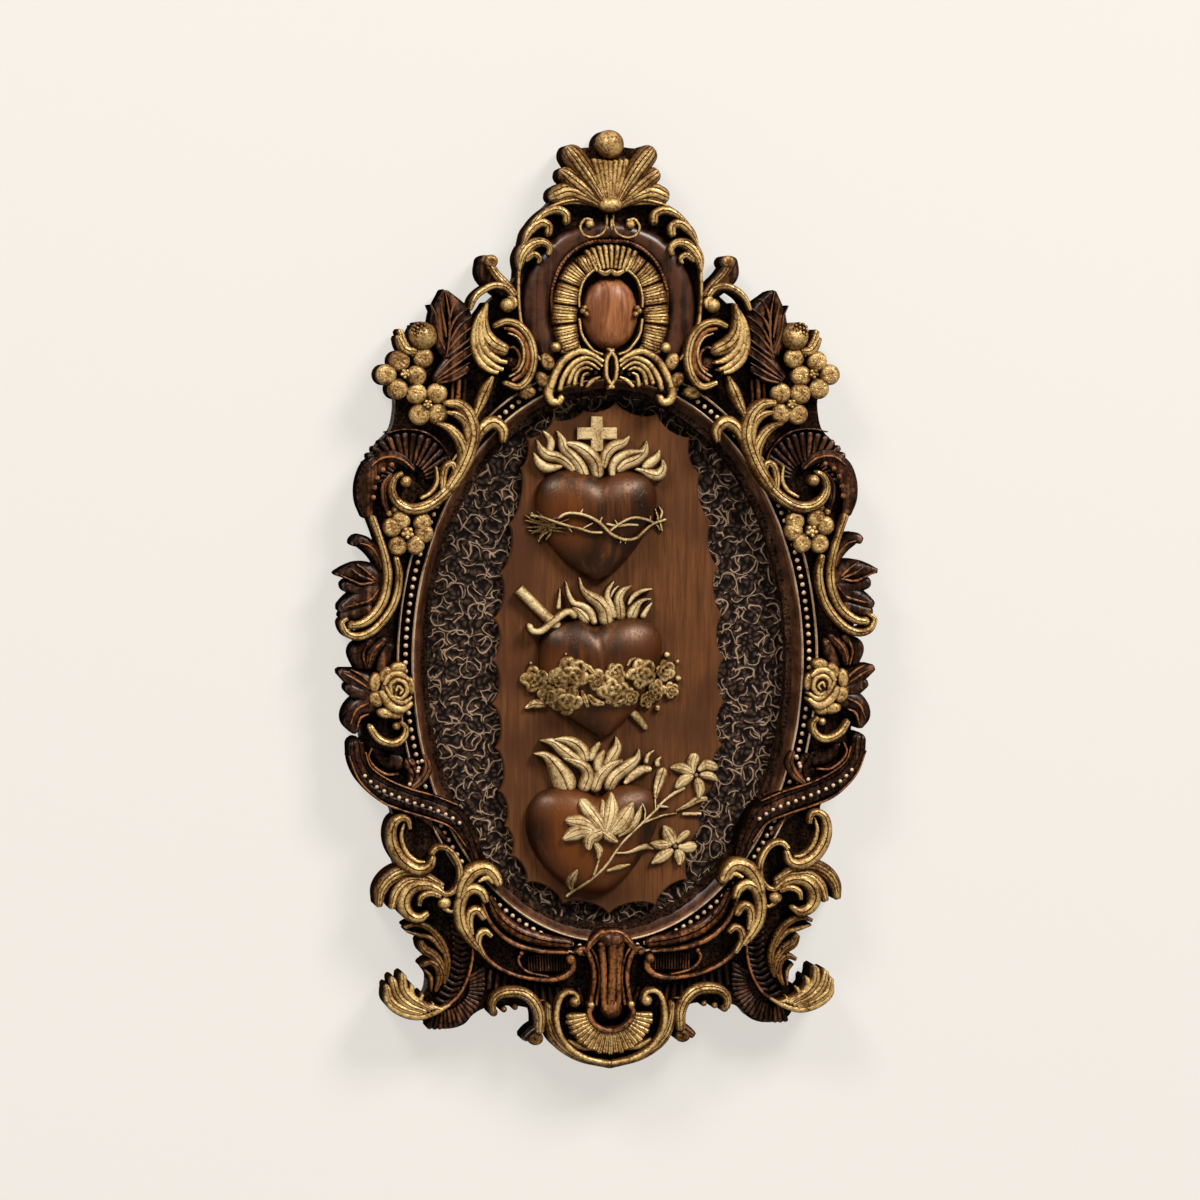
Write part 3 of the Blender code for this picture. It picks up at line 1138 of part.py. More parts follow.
def main():
    clear_scene()
    walnut = make_material("carved walnut", WALNUT)
    gilt = make_material("pale gilt", PALE_GILT)
    polished = make_material("polished mahogany", MAHOGANY)
    make_frame(walnut)
    make_ground_panel(make_material("dark ground", DARK_GROUND))
    make_board(make_material("reddish board", BOARD_BROWN))
    make_cross(gilt)
    make_heart("heart_upper", UPPER_HEART, polished)
    make_heart("heart_middle", MIDDLE_HEART, polished)
    make_heart("heart_lower", LOWER_HEART, polished)
    upper_cut = make_cutter("cutter_upper", UPPER_HEART)
    middle_cut = make_cutter("cutter_middle", MIDDLE_HEART)
    lower_cut = make_cutter("cutter_lower", LOWER_HEART)
    roses, lilies, hilt = garland_motifs(), lily_motifs(), hilt_motifs()
    guard_gap = make_clearance("clearance_hilt", hilt)
    rose_gap = make_clearance("clearance_roses", roses)
    lily_gap = make_clearance("clearance_lilies", lilies)
    make_flames("flames_upper", UPPER_FLAMES, gilt, upper_cut)
    make_flames("flames_middle", MIDDLE_FLAMES, gilt, middle_cut, guard_gap)
    make_flames("flames_lower", LOWER_FLAMES, gilt, lower_cut, lily_gap)
    make_crown(upper_cut, gilt)
    make_overlay("rose_garland", roses, MIDDLE_HEART, middle_cut, gilt)
    make_overlay("lily_spray", lilies, LOWER_HEART, lower_cut, gilt)
    level = HEART_BACK + GRIP_RADIUS
    cut_with(Relief(hilt, level, HEART_BACK).build("dagger_hilt", gilt), middle_cut)
    make_dagger_point(gilt, middle_cut, rose_gap)


main()
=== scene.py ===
import math

import bmesh
import bpy
import numpy as np
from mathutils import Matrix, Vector, geometry, noise


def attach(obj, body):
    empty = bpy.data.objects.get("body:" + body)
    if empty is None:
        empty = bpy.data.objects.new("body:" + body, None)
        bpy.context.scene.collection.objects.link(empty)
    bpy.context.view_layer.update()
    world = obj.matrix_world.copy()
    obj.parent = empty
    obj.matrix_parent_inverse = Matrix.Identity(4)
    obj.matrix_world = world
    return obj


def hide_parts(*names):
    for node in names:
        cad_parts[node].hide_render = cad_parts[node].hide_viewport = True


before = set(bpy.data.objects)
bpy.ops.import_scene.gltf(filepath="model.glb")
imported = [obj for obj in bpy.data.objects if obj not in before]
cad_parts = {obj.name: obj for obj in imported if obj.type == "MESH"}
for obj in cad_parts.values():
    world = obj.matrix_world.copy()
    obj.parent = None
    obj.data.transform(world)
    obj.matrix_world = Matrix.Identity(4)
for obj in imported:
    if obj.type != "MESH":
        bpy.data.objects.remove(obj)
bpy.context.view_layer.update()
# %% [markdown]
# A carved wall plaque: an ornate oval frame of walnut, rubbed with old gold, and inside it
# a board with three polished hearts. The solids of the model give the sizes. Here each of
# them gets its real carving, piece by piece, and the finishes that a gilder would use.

# %% [markdown]
# The carver's drawing is squared, 936 squares from crest to foot. It was drawn from a
# little to the left, so a point that stands nearer moves to the right. One function turns
# a place on the drawing, and its height above the back, into metres. Only the left half
# is drawn: the right half is its mirror image.

# %% From squares to metres
SQUARE = 0.600 / 936
TURN = math.radians(9)
CENTRE_LINE, MOUNT_LINE, OVAL_ROW = 600.0, 330.0, 660.0
OVAL_X = 179 * SQUARE / math.cos(TURN)
OVAL_Z = 265 * SQUARE
OVAL_MIDDLE = (MOUNT_LINE - OVAL_ROW) * SQUARE
# Heights above the back, in metres, and how far a heart stands out from the board.
GROUND = 0.0200
BOARD_FRONT = 0.0146
HEART_BACK = 0.0149
HEART_RISE = 0.0170
BOTH, LEFT = (1, -1), (1,)  # as drawn and mirrored, or only as drawn


def plan(points, height):
    """Places in metres of points on the drawing that stand a given height above the back."""
    points = np.atleast_2d(np.asarray(points, float))
    centre = CENTRE_LINE + height * math.sin(TURN) / SQUARE
    across = (points[:, 0] - centre) * SQUARE / math.cos(TURN)
    return np.column_stack([across, (MOUNT_LINE - points[:, 1]) * SQUARE])


def smooth_curve(points, closed=False, per_span=12):
    """A curve through all the points, or a straight run where there are only two."""
    points = np.asarray(points, float)
    if len(points) < 3:
        shares = np.linspace(0, 1, 12)[:, None]
        return points[0] + (points[-1] - points[0]) * shares
    if closed:
        padded = np.vstack([points[-1], points, points[:2]])
    else:
        padded = np.vstack([2 * points[0] - points[1], points, 2 * points[-1] - points[-2]])
    u = np.linspace(0, 1, per_span, endpoint=False)[:, None]
    spans = [0.5 * (2 * b + (c - a) * u + (2 * a - 5 * b + 4 * c - d) * u**2
                    + (3 * b - a - 3 * c + d) * u**3)
             for a, b, c, d in zip(padded[:-3], padded[1:-2], padded[2:-1], padded[3:])]
    return np.vstack(spans + ([] if closed else [points[-1:]]))


def evenly(curve, step):
    """The same curve with points at even steps, and how far along it each one lies."""
    length = np.append(0, np.cumsum(np.linalg.norm(np.diff(curve, axis=0), axis=1)))
    count = max(8, int(length[-1] / step))
    spots = np.linspace(0, length[-1], count + 1)
    return np.column_stack([np.interp(spots, length, curve[:, k]) for k in range(2)]), spots


print("one square is", round(SQUARE * 1000, 3), "mm")

# %% [markdown]
# Carving is mostly bands: a scroll, a leaf or a petal is a strip of wood that swells and
# narrows along a curve, rounded across, with gouge cuts in it. One function sweeps such a
# strip. It keeps two facts at each point for the gilder: how near it is to a crest, where
# leaf stays bright while flanks, walls and cuts get painted shade, and how deep it lies,
# where dark wax and more painted shade stay behind.

# %% The carver's store
def ring_faces(number):
    """Four-sided faces between rows of point numbers, each row a closed ring."""
    ahead = np.roll(number, -1, axis=1)
    return np.stack([number[:-1], ahead[:-1], ahead[1:], number[1:]], -1).reshape(-1, 4)


def face_outward(mesh):
    """Turn every face of a closed mesh outward."""
    edit = bmesh.new()
    edit.from_mesh(mesh)
    bmesh.ops.recalc_face_normals(edit, faces=edit.faces)
    edit.to_mesh(mesh)
    edit.free()


def set_crest(mesh, values):
    """Keep at each point how near it is to a crest."""
    mesh.attributes.new("crest", "FLOAT", "POINT").data.foreach_set("value", values.astype(np.float32))


class Carving:
    """Closed shapes of one finish, joined in one mesh."""

    def __init__(self):
        self.points, self.crests, self.quads, self.caps, self.count = [], [], [], [], 0

    def shell(self, x, height, z, crest):
        """A grid of rings, each ring closed on itself, capped at both ends."""
        rows, columns = x.shape
        number = self.count + np.arange(rows * columns).reshape(rows, columns)
        self.quads.append(ring_faces(number))
        self.caps += [number[0].tolist(), number[-1][::-1].tolist()]
        self.points.append(np.stack([x, -height, z], -1).reshape(-1, 3))
        self.crests.append(np.clip(crest, 0, 1).ravel())
        self.count += rows * columns

    def make(self, name, material, smooth=38):
        """The mesh object, riding with the frame's body."""
        mesh = bpy.data.meshes.new(name)
        faces = np.vstack(self.quads).tolist() + self.caps
        mesh.from_pydata(np.vstack(self.points).tolist(), [], faces)
        set_crest(mesh, np.concatenate(self.crests))
        face_outward(mesh)
        return place(name, mesh, material, smooth)


def added(name, data):
    made = bpy.data.objects.new(name, data)
    bpy.context.collection.objects.link(made)
    return made


def place(name, mesh, material, smooth=38):
    """Put a mesh in the scene with its material."""
    made = added(name, mesh)
    mesh.materials.clear()
    mesh.materials.append(material)
    mesh.shade_smooth()
    mesh.set_sharp_from_angle(angle=math.radians(smooth))
    print(name, len(mesh.polygons), "faces")
    return made


# %% One carved band
FULLER = 1.06       # bands are drawn a little thin
WALL_FOOT = 0.0012  # where the walls of the frame's carving end, inside the block


def across_samples(cuts):
    """Where a band is measured across, close together at its gouge cuts."""
    lines = np.linspace(-1, 1, cuts + 2)
    shares = (0.0, 0.14, 0.5, 0.86) if cuts else (0.0, 0.06, 0.15, 0.3, 0.5, 0.7, 0.85, 0.94)
    spots = [a + (b - a) * share for a, b in zip(lines[:-1], lines[1:]) for share in shares]
    return np.array(spots + [1.0])


def carved(across, along, cuts, depth, veins, slant, vein_depth, hollow, edge, cut_wax_and_shade):
    """The height of a band's surface, as a share of its rise, and how near a crest it is."""
    rise = edge + (1 - edge) * np.sqrt(np.clip(1 - across**2, 0, 1))
    groove = np.zeros_like(rise)
    if cuts:
        width = 0.21 / (cuts + 1)
        for line in np.linspace(-1, 1, cuts + 2)[1:-1]:
            groove = np.maximum(groove, np.exp(-((across - line) / width) ** 2))
    vein = np.zeros_like(rise)
    if veins:
        phase = np.mod(veins * along + slant * np.abs(across), 1)
        vein = np.clip((np.abs(phase - 0.5) * 2 - 0.5) / 0.5, 0, 1) ** 1.5
    rise = rise - depth * groove - vein_depth * vein * (1 - 0.5 * np.abs(across))
    rise = rise - hollow * np.clip(1 - across**2, 0, 1) ** 1.5
    # The crest value paints shade: darker flanks, and darker cuts and veins, where dark wax also lies.
    crest = (1 - 0.66 * np.abs(across) ** 2.4) * (1 - 0.8 * cut_wax_and_shade * groove) * (1 - 0.75 * vein)
    return np.clip(rise, 0.02, 1), crest


def band(store, points, half, top, base=GROUND, foot=WALL_FOOT, cuts=0, depth=0.24, veins=0, slant=1.0,
         vein_depth=0.12, hollow=0.0, edge=0.3, lobes=0, lobe_depth=0.16, sides=BOTH,
         bright=1.0, lift=None, step=0.0011, blunt=False, gaps=(), cut_wax_and_shade=1.0):
    """Sweep a carved band along a curve of the drawing, on one half or on both.

    half gives half widths along the way, top and base the heights of its crest and its edge.
    Cuts run along it, veins slant across it, lobes scallop its sides and gaps notch it.
    """
    half = np.atleast_1d(np.asarray(half, float)) * SQUARE * FULLER
    half = np.repeat(half, 2) if len(half) == 1 else half
    for side in sides:
        line = plan(points, top) * (side, 1)
        if side < 0:
            line = line[::-1]
        widths = half[::-1] if side < 0 else half
        curve = smooth_curve(line)
        start, end = curve[0] - curve[1], curve[-1] - curve[-2]
        if not blunt:
            curve = np.vstack([curve[0] + start / np.linalg.norm(start) * widths[0] * 0.85, curve,
                               curve[-1] + end / np.linalg.norm(end) * widths[-1] * 0.85])
        length = np.sum(np.linalg.norm(np.diff(curve, axis=0), axis=1))
        fine = min(step, length / (7 * veins)) if veins else step
        path, spots = evenly(curve, min(fine, 0.45 * half.max()))
        share = spots / spots[-1]
        width = np.interp(share, np.linspace(0, 1, len(widths)), widths)
        if len(path) > 9:
            width = np.convolve(np.pad(width, 2, "edge"), np.ones(5) / 5, "valid")
        ends = []
        for gone, radius in ((spots, widths[0]), (spots[::-1], widths[-1])):
            near = np.clip(gone / max(radius, 1e-4), 0.015, 1)
            ends.append(np.sqrt(1 - (1 - near) ** 2))
        rounding = ends[0] * ends[1] if not blunt else np.ones(len(path))
        if lobes:
            rounding = rounding * (1 - lobe_depth * (0.5 + 0.5 * np.cos(2 * math.pi * lobes * share)))
        drawn = 1 - share if side < 0 else share
        dips, rims = np.zeros(len(path)), np.zeros(len(path))
        for gap in gaps:
            dips = np.maximum(dips, np.exp(-((drawn - gap) / 0.012) ** 2))
            rims = np.maximum(rims, np.exp(-((drawn - gap - 0.034) / 0.016) ** 2))
        rounding = rounding * (1 - 0.14 * dips)
        run = np.gradient(path, axis=0)
        run /= np.maximum(np.linalg.norm(run, axis=1, keepdims=True), 1e-12)
        turn = np.gradient(np.unwrap(np.arctan2(run[:, 1], run[:, 0]))) / max(spots[1], 1e-9)
        limit = 0.93 / np.maximum(np.abs(turn), 1e-6)
        left = np.where(turn > 0, np.minimum(width * rounding, limit), width * rounding)
        right = np.where(turn < 0, np.minimum(width * rounding, limit), width * rounding)
        normal = np.column_stack([-run[:, 1], run[:, 0]])
        across = across_samples(cuts)[None, :]
        along = drawn[:, None]
        shoulder = np.maximum(edge, 1 - 1.05 * width[:, None] / (top - base))
        surface, crest = carved(across + 0 * along, along + 0 * across, cuts, depth * (1 - shoulder) * 1.6,
                                veins, slant, vein_depth * (1 - shoulder) * 1.6, hollow * (1 - shoulder),
                                shoulder, cut_wax_and_shade)
        reach = np.where(across > 0, left[:, None], right[:, None]) * across
        x = path[:, :1] + normal[:, :1] * reach
        z = path[:, 1:] + normal[:, 1:] * reach
        swell = (1 - 0.16 * dips + 0.05 * rims)[:, None]
        # Notches get darker: painted shade.
        crest = crest * (1 - 0.85 * dips)[:, None]
        height = base + (top - base) * surface * swell * (0.25 + 0.75 * rounding[:, None] ** 0.8)
        if lift is not None:
            height = height + lift(x, z)
        # The walls down to the foot get no crest: painted shade on the band's sides.
        walls = np.full((len(path), 1), foot)
        store.shell(np.hstack([x[:, :1], x, x[:, -1:]]), np.hstack([walls, height, walls]),
                    np.hstack([z[:, :1], z, z[:, -1:]]),
                    bright * np.hstack([0 * walls, crest, 0 * walls]))


# %% One rounded boss
def boss(store, centre, radius, top, base=GROUND, foot=WALL_FOOT, sides=BOTH, pits=0.0, dimple=0.0,
         power=2.0, around=26, rings=8, bright=1.0, lift=None, turned=0.0):
    """A ball, bud, petal or cabochon."""
    wide, tall = np.broadcast_to(radius, 2) * SQUARE
    base = max(base, top - 1.15 * min(wide, tall))
    for side in sides:
        middle = (plan([centre], top) * (side, 1))[0]
        angle = 2 * math.pi * np.arange(around) / around
        share = np.cos(np.linspace(0, math.pi / 2 * 0.985, rings))
        share = np.append(1.0, share)[:, None]
        across, up = wide * np.cos(angle) * share, tall * np.sin(angle) * share
        c, s = math.cos(turned * side), math.sin(turned * side)
        x, z = middle[0] + c * across - s * up, middle[1] + s * across + c * up
        surface = np.clip(1 - share**power, 0, 1) ** (1 / power) - dimple * (1 - share**2) ** 3
        if pits:
            rough = np.sin(x * 2600 + 3 * np.sin(z * 2100)) * np.sin(z * 2400 + 2 * np.sin(x * 1900))
            surface = surface - pits * (0.5 + 0.5 * rough) * (surface > 0.3)
        height = base + (top - base) * (surface + 0 * angle)
        if lift is not None:
            height = height + lift(x, z)
        # Lower down the ball and inside a dimple the crest falls: painted shade.
        crest = (0.3 + 0.7 * surface) * (1 - 0.6 * dimple * 4 * (1 - share**2) ** 3) + 0 * angle
        height[0] = foot
        store.shell(x, height, z, crest * bright)


# %% [markdown]
# The finishes share three effects, each made once as a node group. Wax and painted shade
# lie dark in the cuts and low places and thin towards the crests. Fine mottling breaks up
# leaf and lacquer. Wood grain is long streaks of noise, stretched along the board.

# %% Helpers for materials
def node(tree, kind, values=None, **settings):
    """A node whose inputs are set to numbers or joined to sockets."""
    made = tree.nodes.new(kind)
    for name, value in settings.items():
        setattr(made, name, value)
    for name, value in (values or {}).items():
        if isinstance(value, bpy.types.NodeSocket):
            tree.links.new(value, made.inputs[name])
        else:
            made.inputs[name].default_value = value
    return made


def group(name, inputs, outputs):
    """A shader group with named numbers going in and coming out."""
    tree = bpy.data.node_groups.new(name, "ShaderNodeTree")
    for label, default in inputs:
        tree.interface.new_socket(label, in_out="INPUT",
                                  socket_type="NodeSocketFloat").default_value = default
    for label in outputs:
        tree.interface.new_socket(label, in_out="OUTPUT", socket_type="NodeSocketFloat")
    return tree, tree.nodes.new("NodeGroupInput"), tree.nodes.new("NodeGroupOutput")


def blank_material(name):
    material = bpy.data.materials.new(name)
    material.use_nodes = True
    return material, material.node_tree, material.node_tree.nodes["Principled BSDF"]


def tones(tree, factor, *stops):
    """The colour at a factor, from stops that each give a place and a colour."""
    shade = node(tree, "ShaderNodeValToRGB", {"Fac": factor})
    elements = shade.color_ramp.elements
    for element, (spot, colour) in zip(elements, (stops[0], stops[-1])):
        element.position, element.color = spot, (*colour, 1)
    for spot, colour in stops[1:-1]:
        elements.new(spot).color = (*colour, 1)
    return shade.outputs["Color"]


def object_place(tree):
    return node(tree, "ShaderNodeTexCoord").outputs["Object"]


def set_bump(tree, shader, height, distance, strength):
    relief = node(tree, "ShaderNodeBump", {"Height": height, "Distance": distance, "Strength": strength})
    tree.links.new(relief.outputs["Normal"], shader.inputs["Normal"])


def mixed(tree, factor, a, b, blend="MIX"):
    made = node(tree, "ShaderNodeMix", data_type="RGBA", blend_type=blend)
    for name, value in (("Factor_Float", factor), ("A_Color", a), ("B_Color", b)):
        socket = next(s for s in made.inputs if s.identifier == name)
        if isinstance(value, bpy.types.NodeSocket):
            tree.links.new(value, socket)
        else:
            socket.default_value = value
    return next(s for s in made.outputs if s.identifier == "Result_Color")


def vectors(tree, operation, a, b):
    return node(tree, "ShaderNodeVectorMath", {0: a, 1: b}, operation=operation).outputs[0]


def sums(tree, operation, a, b=0.5, clamp=False):
    return node(tree, "ShaderNodeMath", {0: a, 1: b}, operation=operation, use_clamp=clamp).outputs[0]


def ramp(tree, value, low, high, start=0.0, end=1.0):
    """A value between low and high, carried over to between start and end."""
    return node(tree, "ShaderNodeMapRange", {"Value": value, "From Min": low, "From Max": high,
                                             "To Min": start, "To Max": end}).outputs["Result"]


# %% The wax and painted shade in the cuts
def wax_and_shade_group():
    """How free of wax and painted shade a point is. Low places and gouge cuts are dark, from wax and from
    painted shade, and mottling breaks the rest.
    """
    tree, given, out = group("Wax and painted shade in the cuts", (("Dark Level", 0.018), ("Bright Level", 0.030),
                                                 ("Speckle", 0.5), ("Speckle Size", 420.0)),
                             ("Bare And Unshaded", "Height"))
    where = object_place(tree)
    # Lower points get darker: dark wax, and painted shade in the recesses.
    depth = sums(tree, "MULTIPLY", node(tree, "ShaderNodeSeparateXYZ", {0: where}).outputs["Y"], -1.0)
    span = node(tree, "ShaderNodeMapRange", {"Value": depth, "From Min": given.outputs["Dark Level"],
                                             "From Max": given.outputs["Bright Level"]})
    crest = node(tree, "ShaderNodeAttribute", attribute_name="crest").outputs["Fac"]
    bare_and_unshaded = sums(tree, "MULTIPLY", span.outputs["Result"], crest)
    fine = node(tree, "ShaderNodeTexNoise", {"Vector": where, "Scale": given.outputs["Speckle Size"],
                                             "Detail": 3.0, "Roughness": 0.65}).outputs["Fac"]
    broad = node(tree, "ShaderNodeTexNoise", {"Vector": where, "Scale": 90.0, "Detail": 2.0})
    pits = ramp(tree, fine, 0.44, 0.68)
    worn = sums(tree, "MULTIPLY", pits, given.outputs["Speckle"])
    patchy = ramp(tree, broad.outputs["Fac"], 0.32, 0.66, 0.66, 1.12)
    bare_and_unshaded = sums(tree, "MULTIPLY", bare_and_unshaded, patchy)
    tree.links.new(sums(tree, "SUBTRACT", bare_and_unshaded, worn, True), out.inputs["Bare And Unshaded"])
    tree.links.new(sums(tree, "SUBTRACT", 1.0, pits), out.inputs["Height"])
    return tree


# %% Wood grain
def grain_group():
    """Fine streaks, a broad figure and dark pores, all stretched upright."""
    tree, given, out = group("Wood grain", (("Across", 260.0), ("Along", 9.0), ("Figure", 26.0)),
                             ("Streak", "Figure", "Pores"))
    parts = node(tree, "ShaderNodeSeparateXYZ", {0: object_place(tree)})

    def stretched(scale, along, detail):
        x = sums(tree, "MULTIPLY", parts.outputs["X"], scale)
        y = sums(tree, "MULTIPLY", parts.outputs["Y"], scale)
        z = sums(tree, "MULTIPLY", parts.outputs["Z"], along)
        spot = node(tree, "ShaderNodeCombineXYZ", {"X": x, "Y": y, "Z": z}).outputs[0]
        return node(tree, "ShaderNodeTexNoise", {"Vector": spot, "Scale": 1.0, "Detail": detail,
                                                 "Distortion": 0.6}).outputs["Fac"]

    tree.links.new(stretched(given.outputs["Across"], given.outputs["Along"], 4.0), out.inputs["Streak"])
    tree.links.new(stretched(given.outputs["Figure"], 4.0, 2.0), out.inputs["Figure"])
    fine = stretched(1400.0, 60.0, 1.0)
    tree.links.new(ramp(tree, fine, 0.60, 0.72), out.inputs["Pores"])
    return tree


WAX_AND_SHADE, GRAIN = wax_and_shade_group(), grain_group()


# %% The finishes on the carving, with painted shade
def finish(name, dark, middle, bright, roughness, metallic, speckle=0.5, levels=(0.0165, 0.0250),
           grain=0.0, size=420.0, coat=0.35):
    """A carved finish that runs from dark wax and painted shade, by a middle tone, to a bright crest."""
    material, tree, shader = blank_material(name)
    wax_and_shade = node(tree, "ShaderNodeGroup", {}, node_tree=WAX_AND_SHADE)
    for label, value in (("Dark Level", levels[0]), ("Bright Level", levels[1]),
                         ("Speckle", speckle), ("Speckle Size", size)):
        wax_and_shade.inputs[label].default_value = value
    bare_and_unshaded = wax_and_shade.outputs["Bare And Unshaded"]
    if grain:
        streaks = node(tree, "ShaderNodeGroup", {}, node_tree=GRAIN).outputs["Streak"]
        bare_and_unshaded = sums(tree, "MULTIPLY", bare_and_unshaded, ramp(tree, streaks, 0.3, 0.7, 1 - grain, 1 + grain))
    tree.links.new(tones(tree, bare_and_unshaded, (0.06, dark), (0.46, middle), (0.86, bright)),
                   shader.inputs["Base Color"])
    tree.links.new(ramp(tree, bare_and_unshaded, 0.0, 1.0, min(1, roughness + 0.25), roughness),
                   shader.inputs["Roughness"])
    if metallic:
        tree.links.new(ramp(tree, bare_and_unshaded, 0.25, 0.8, 0.0, metallic), shader.inputs["Metallic"])
    tree.links.new(ramp(tree, bare_and_unshaded, 0.04, 0.40, 0.0, coat), shader.inputs["Coat Weight"])
    shader.inputs["Specular IOR Level"].default_value = 0.0
    shader.inputs["Coat Roughness"].default_value = 0.32
    set_bump(tree, shader, wax_and_shade.outputs["Height"], 0.0004, 0.6)
    return material


# The dark tone of each finish is dark wax and painted shade in the low places and cuts.
OLD_GOLD = finish("old_gold_leaf", (0.012, 0.005, 0.002), (0.200, 0.090, 0.024),
                  (0.80, 0.54, 0.21), 0.34, 0.5, speckle=0.36, levels=(0.0165, 0.0290), size=620.0)
WALNUT = finish("waxed_walnut", (0.004, 0.002, 0.001), (0.034, 0.012, 0.005), (0.200, 0.078, 0.032),
                0.34, 0.0, speckle=0.35, grain=0.6, coat=0.5, levels=(0.0165, 0.0300))
COPPER = finish("copper_brown", (0.006, 0.002, 0.001), (0.070, 0.023, 0.006), (0.36, 0.138, 0.044),
                0.32, 0.15, speckle=0.45, grain=0.4, coat=0.5, levels=(0.0165, 0.0300))
PALE_GILT = finish("pale_matte_gilt", (0.03, 0.012, 0.004), (0.30, 0.17, 0.06),
                   (0.76, 0.58, 0.30), 0.46, 0.2, speckle=0.30, levels=(0.0146, 0.0170), size=640.0)
ROSE_GILT = finish("mottled_rose_gilt", (0.014, 0.006, 0.002), (0.24, 0.13, 0.04),
                   (0.80, 0.58, 0.27), 0.42, 0.3, speckle=0.50, levels=(0.0146, 0.0170), size=430.0)
BRIGHT_LINE = finish("rubbed_bright_line", (0.02, 0.009, 0.004), (0.34, 0.19, 0.10),
                     (0.80, 0.58, 0.38), 0.35, 0.2, speckle=0.25, levels=(0.0165, 0.0240))
POLISHED = finish("polished_cartouche", (0.003, 0.0015, 0.001), (0.018, 0.006, 0.003),
                  (0.080, 0.028, 0.012), 0.26, 0.0, speckle=0.1, grain=0.45, coat=0.9)
print("finishes:", OLD_GOLD.name, WALNUT.name, COPPER.name, PALE_GILT.name, BRIGHT_LINE.name)

# %% [markdown]
# The frame's block is a plain slab with a wavy outline, an oval opening and a step behind
# it for the panel. Its front is almost all covered by carving. It is cut as a flat net of
# triangles between the outline and the oval, then raised, so both edges stay exact.

# %% The block behind the carving
OUTLINE = [(600, 143), (584, 149), (566, 152), (560, 166), (556, 180), (548, 196), (541, 206),
           (529, 218), (519, 235), (513, 252), (510, 268), (506, 284), (497, 290), (482, 303), (470, 318),
           (456, 322), (440, 330), (424, 346), (404, 356), (394, 370), (388, 385), (390, 405),
           (386, 428), (374, 442), (366, 456), (363, 480), (365, 510), (370, 535), (372, 560),
           (360, 580), (352, 602), (352, 622), (354, 642), (352, 662), (352, 690), (354, 720),
           (358, 750), (364, 775), (386, 808), (386, 850), (392, 872), (392, 896), (402, 915),
           (412, 934), (420, 955), (420, 985), (412, 1004), (420, 1022), (440, 1026), (456, 1022),
           (466, 1012), (478, 1006), (500, 1004), (522, 1008), (530, 1026), (548, 1044),
           (566, 1056), (600, 1063)]


def inside(points, outline):
    """Which points lie within an outline."""
    found = np.zeros(len(points), bool)
    x, z = points[:, 0], points[:, 1]
    for a, b in zip(outline, np.roll(outline, -1, axis=0)):
        rise = b[1] - a[1] if abs(b[1] - a[1]) > 1e-12 else 1e-12
        found ^= ((a[1] > z) != (b[1] > z)) & (x < (b[0] - a[0]) * (z - a[1]) / rise + a[0])
    return found


def oval(extra, sides):
    """Points round the opening, a given distance outside it."""
    angle = 2 * math.pi * np.arange(sides) / sides
    facing = np.column_stack([np.cos(angle) / OVAL_X, np.sin(angle) / OVAL_Z])
    facing /= np.linalg.norm(facing, axis=1, keepdims=True)
    ring = np.column_stack([OVAL_X * np.cos(angle), OVAL_Z * np.sin(angle) + OVAL_MIDDLE])
    return ring + facing * extra


def net(outer, inner, spacing):
    """A flat net of triangles between two outlines, with points inside it."""
    low, high = outer.min(axis=0), outer.max(axis=0)
    spots = np.stack(np.meshgrid(np.arange(low[0], high[0], spacing),
                                 np.arange(low[1], high[1], spacing)), -1).reshape(-1, 2)
    spots = spots + (np.round(spots[:, 1:] / spacing) % 2) * np.array([spacing / 2, 0])
    spots = spots[inside(spots, outer) & ~inside(spots, inner)]
    near = np.concatenate([outer, inner])
    gaps = np.array([np.min(np.sum((near - spot) ** 2, axis=1)) for spot in spots])
    spots = spots[gaps > (spacing * 0.5) ** 2]
    points, edges = [], []
    for ring in (outer, inner):
        edges += [(len(points) + i, len(points) + (i + 1) % len(ring)) for i in range(len(ring))]
        points += ring.tolist()
    points += spots.tolist()
    flat, _, faces, *_ = geometry.delaunay_2d_cdt([Vector(p) for p in points], edges, [], 0, 1e-8)
    flat = np.array([tuple(p) for p in flat])
    faces = np.array([f for f in faces], int)
    middles = flat[faces].mean(axis=1)
    return flat, faces[inside(middles, outer) & ~inside(middles, inner)]


def ring_quads(first, second):
    """Faces between two rings of point numbers."""
    count = len(first)
    return [(first[i], first[(i + 1) % count], second[(i + 1) % count], second[i]) for i in range(count)]


def block(name, outer, front_inner, back_inner, material):
    """A slab with walls, and an opening that steps out to a wider one behind."""
    points, faces = [], []

    def layer(hole, level, rough):
        flat, tris = net(outer, hole, NET_SPACING)
        start = len(points)
        for x, z in flat:
            wave = rough * noise.noise(Vector((x * 160, z * 160, 3.0))) if rough else 0.0
            points.append((x, -level + wave, z))
        faces.extend((tris + start).tolist())
        rim = start + len(outer)
        return list(range(start, rim)), list(range(rim, rim + len(hole)))

    front_outer, front_hole = layer(front_inner, GROUND, TOOL_MARKS)
    back_outer, back_hole = layer(back_inner, 0.0, 0.0)
    lip, count = len(points), len(front_inner)
    points.extend((x, -REBATE_DEPTH, z) for x, z in front_inner)
    points.extend((x, -REBATE_DEPTH, z) for x, z in back_inner)
    inner_lip, outer_lip = list(range(lip, lip + count)), list(range(lip + count, lip + 2 * count))
    for first, second in ((front_outer, back_outer), (front_hole, inner_lip), (inner_lip, outer_lip),
                          (outer_lip, back_hole)):
        faces += ring_quads(first, second)
    mesh = bpy.data.meshes.new(name)
    mesh.from_pydata(points, [], faces)
    face_outward(mesh)
    set_crest(mesh, np.full(len(mesh.vertices), 0.5))
    return place(name, mesh, material)


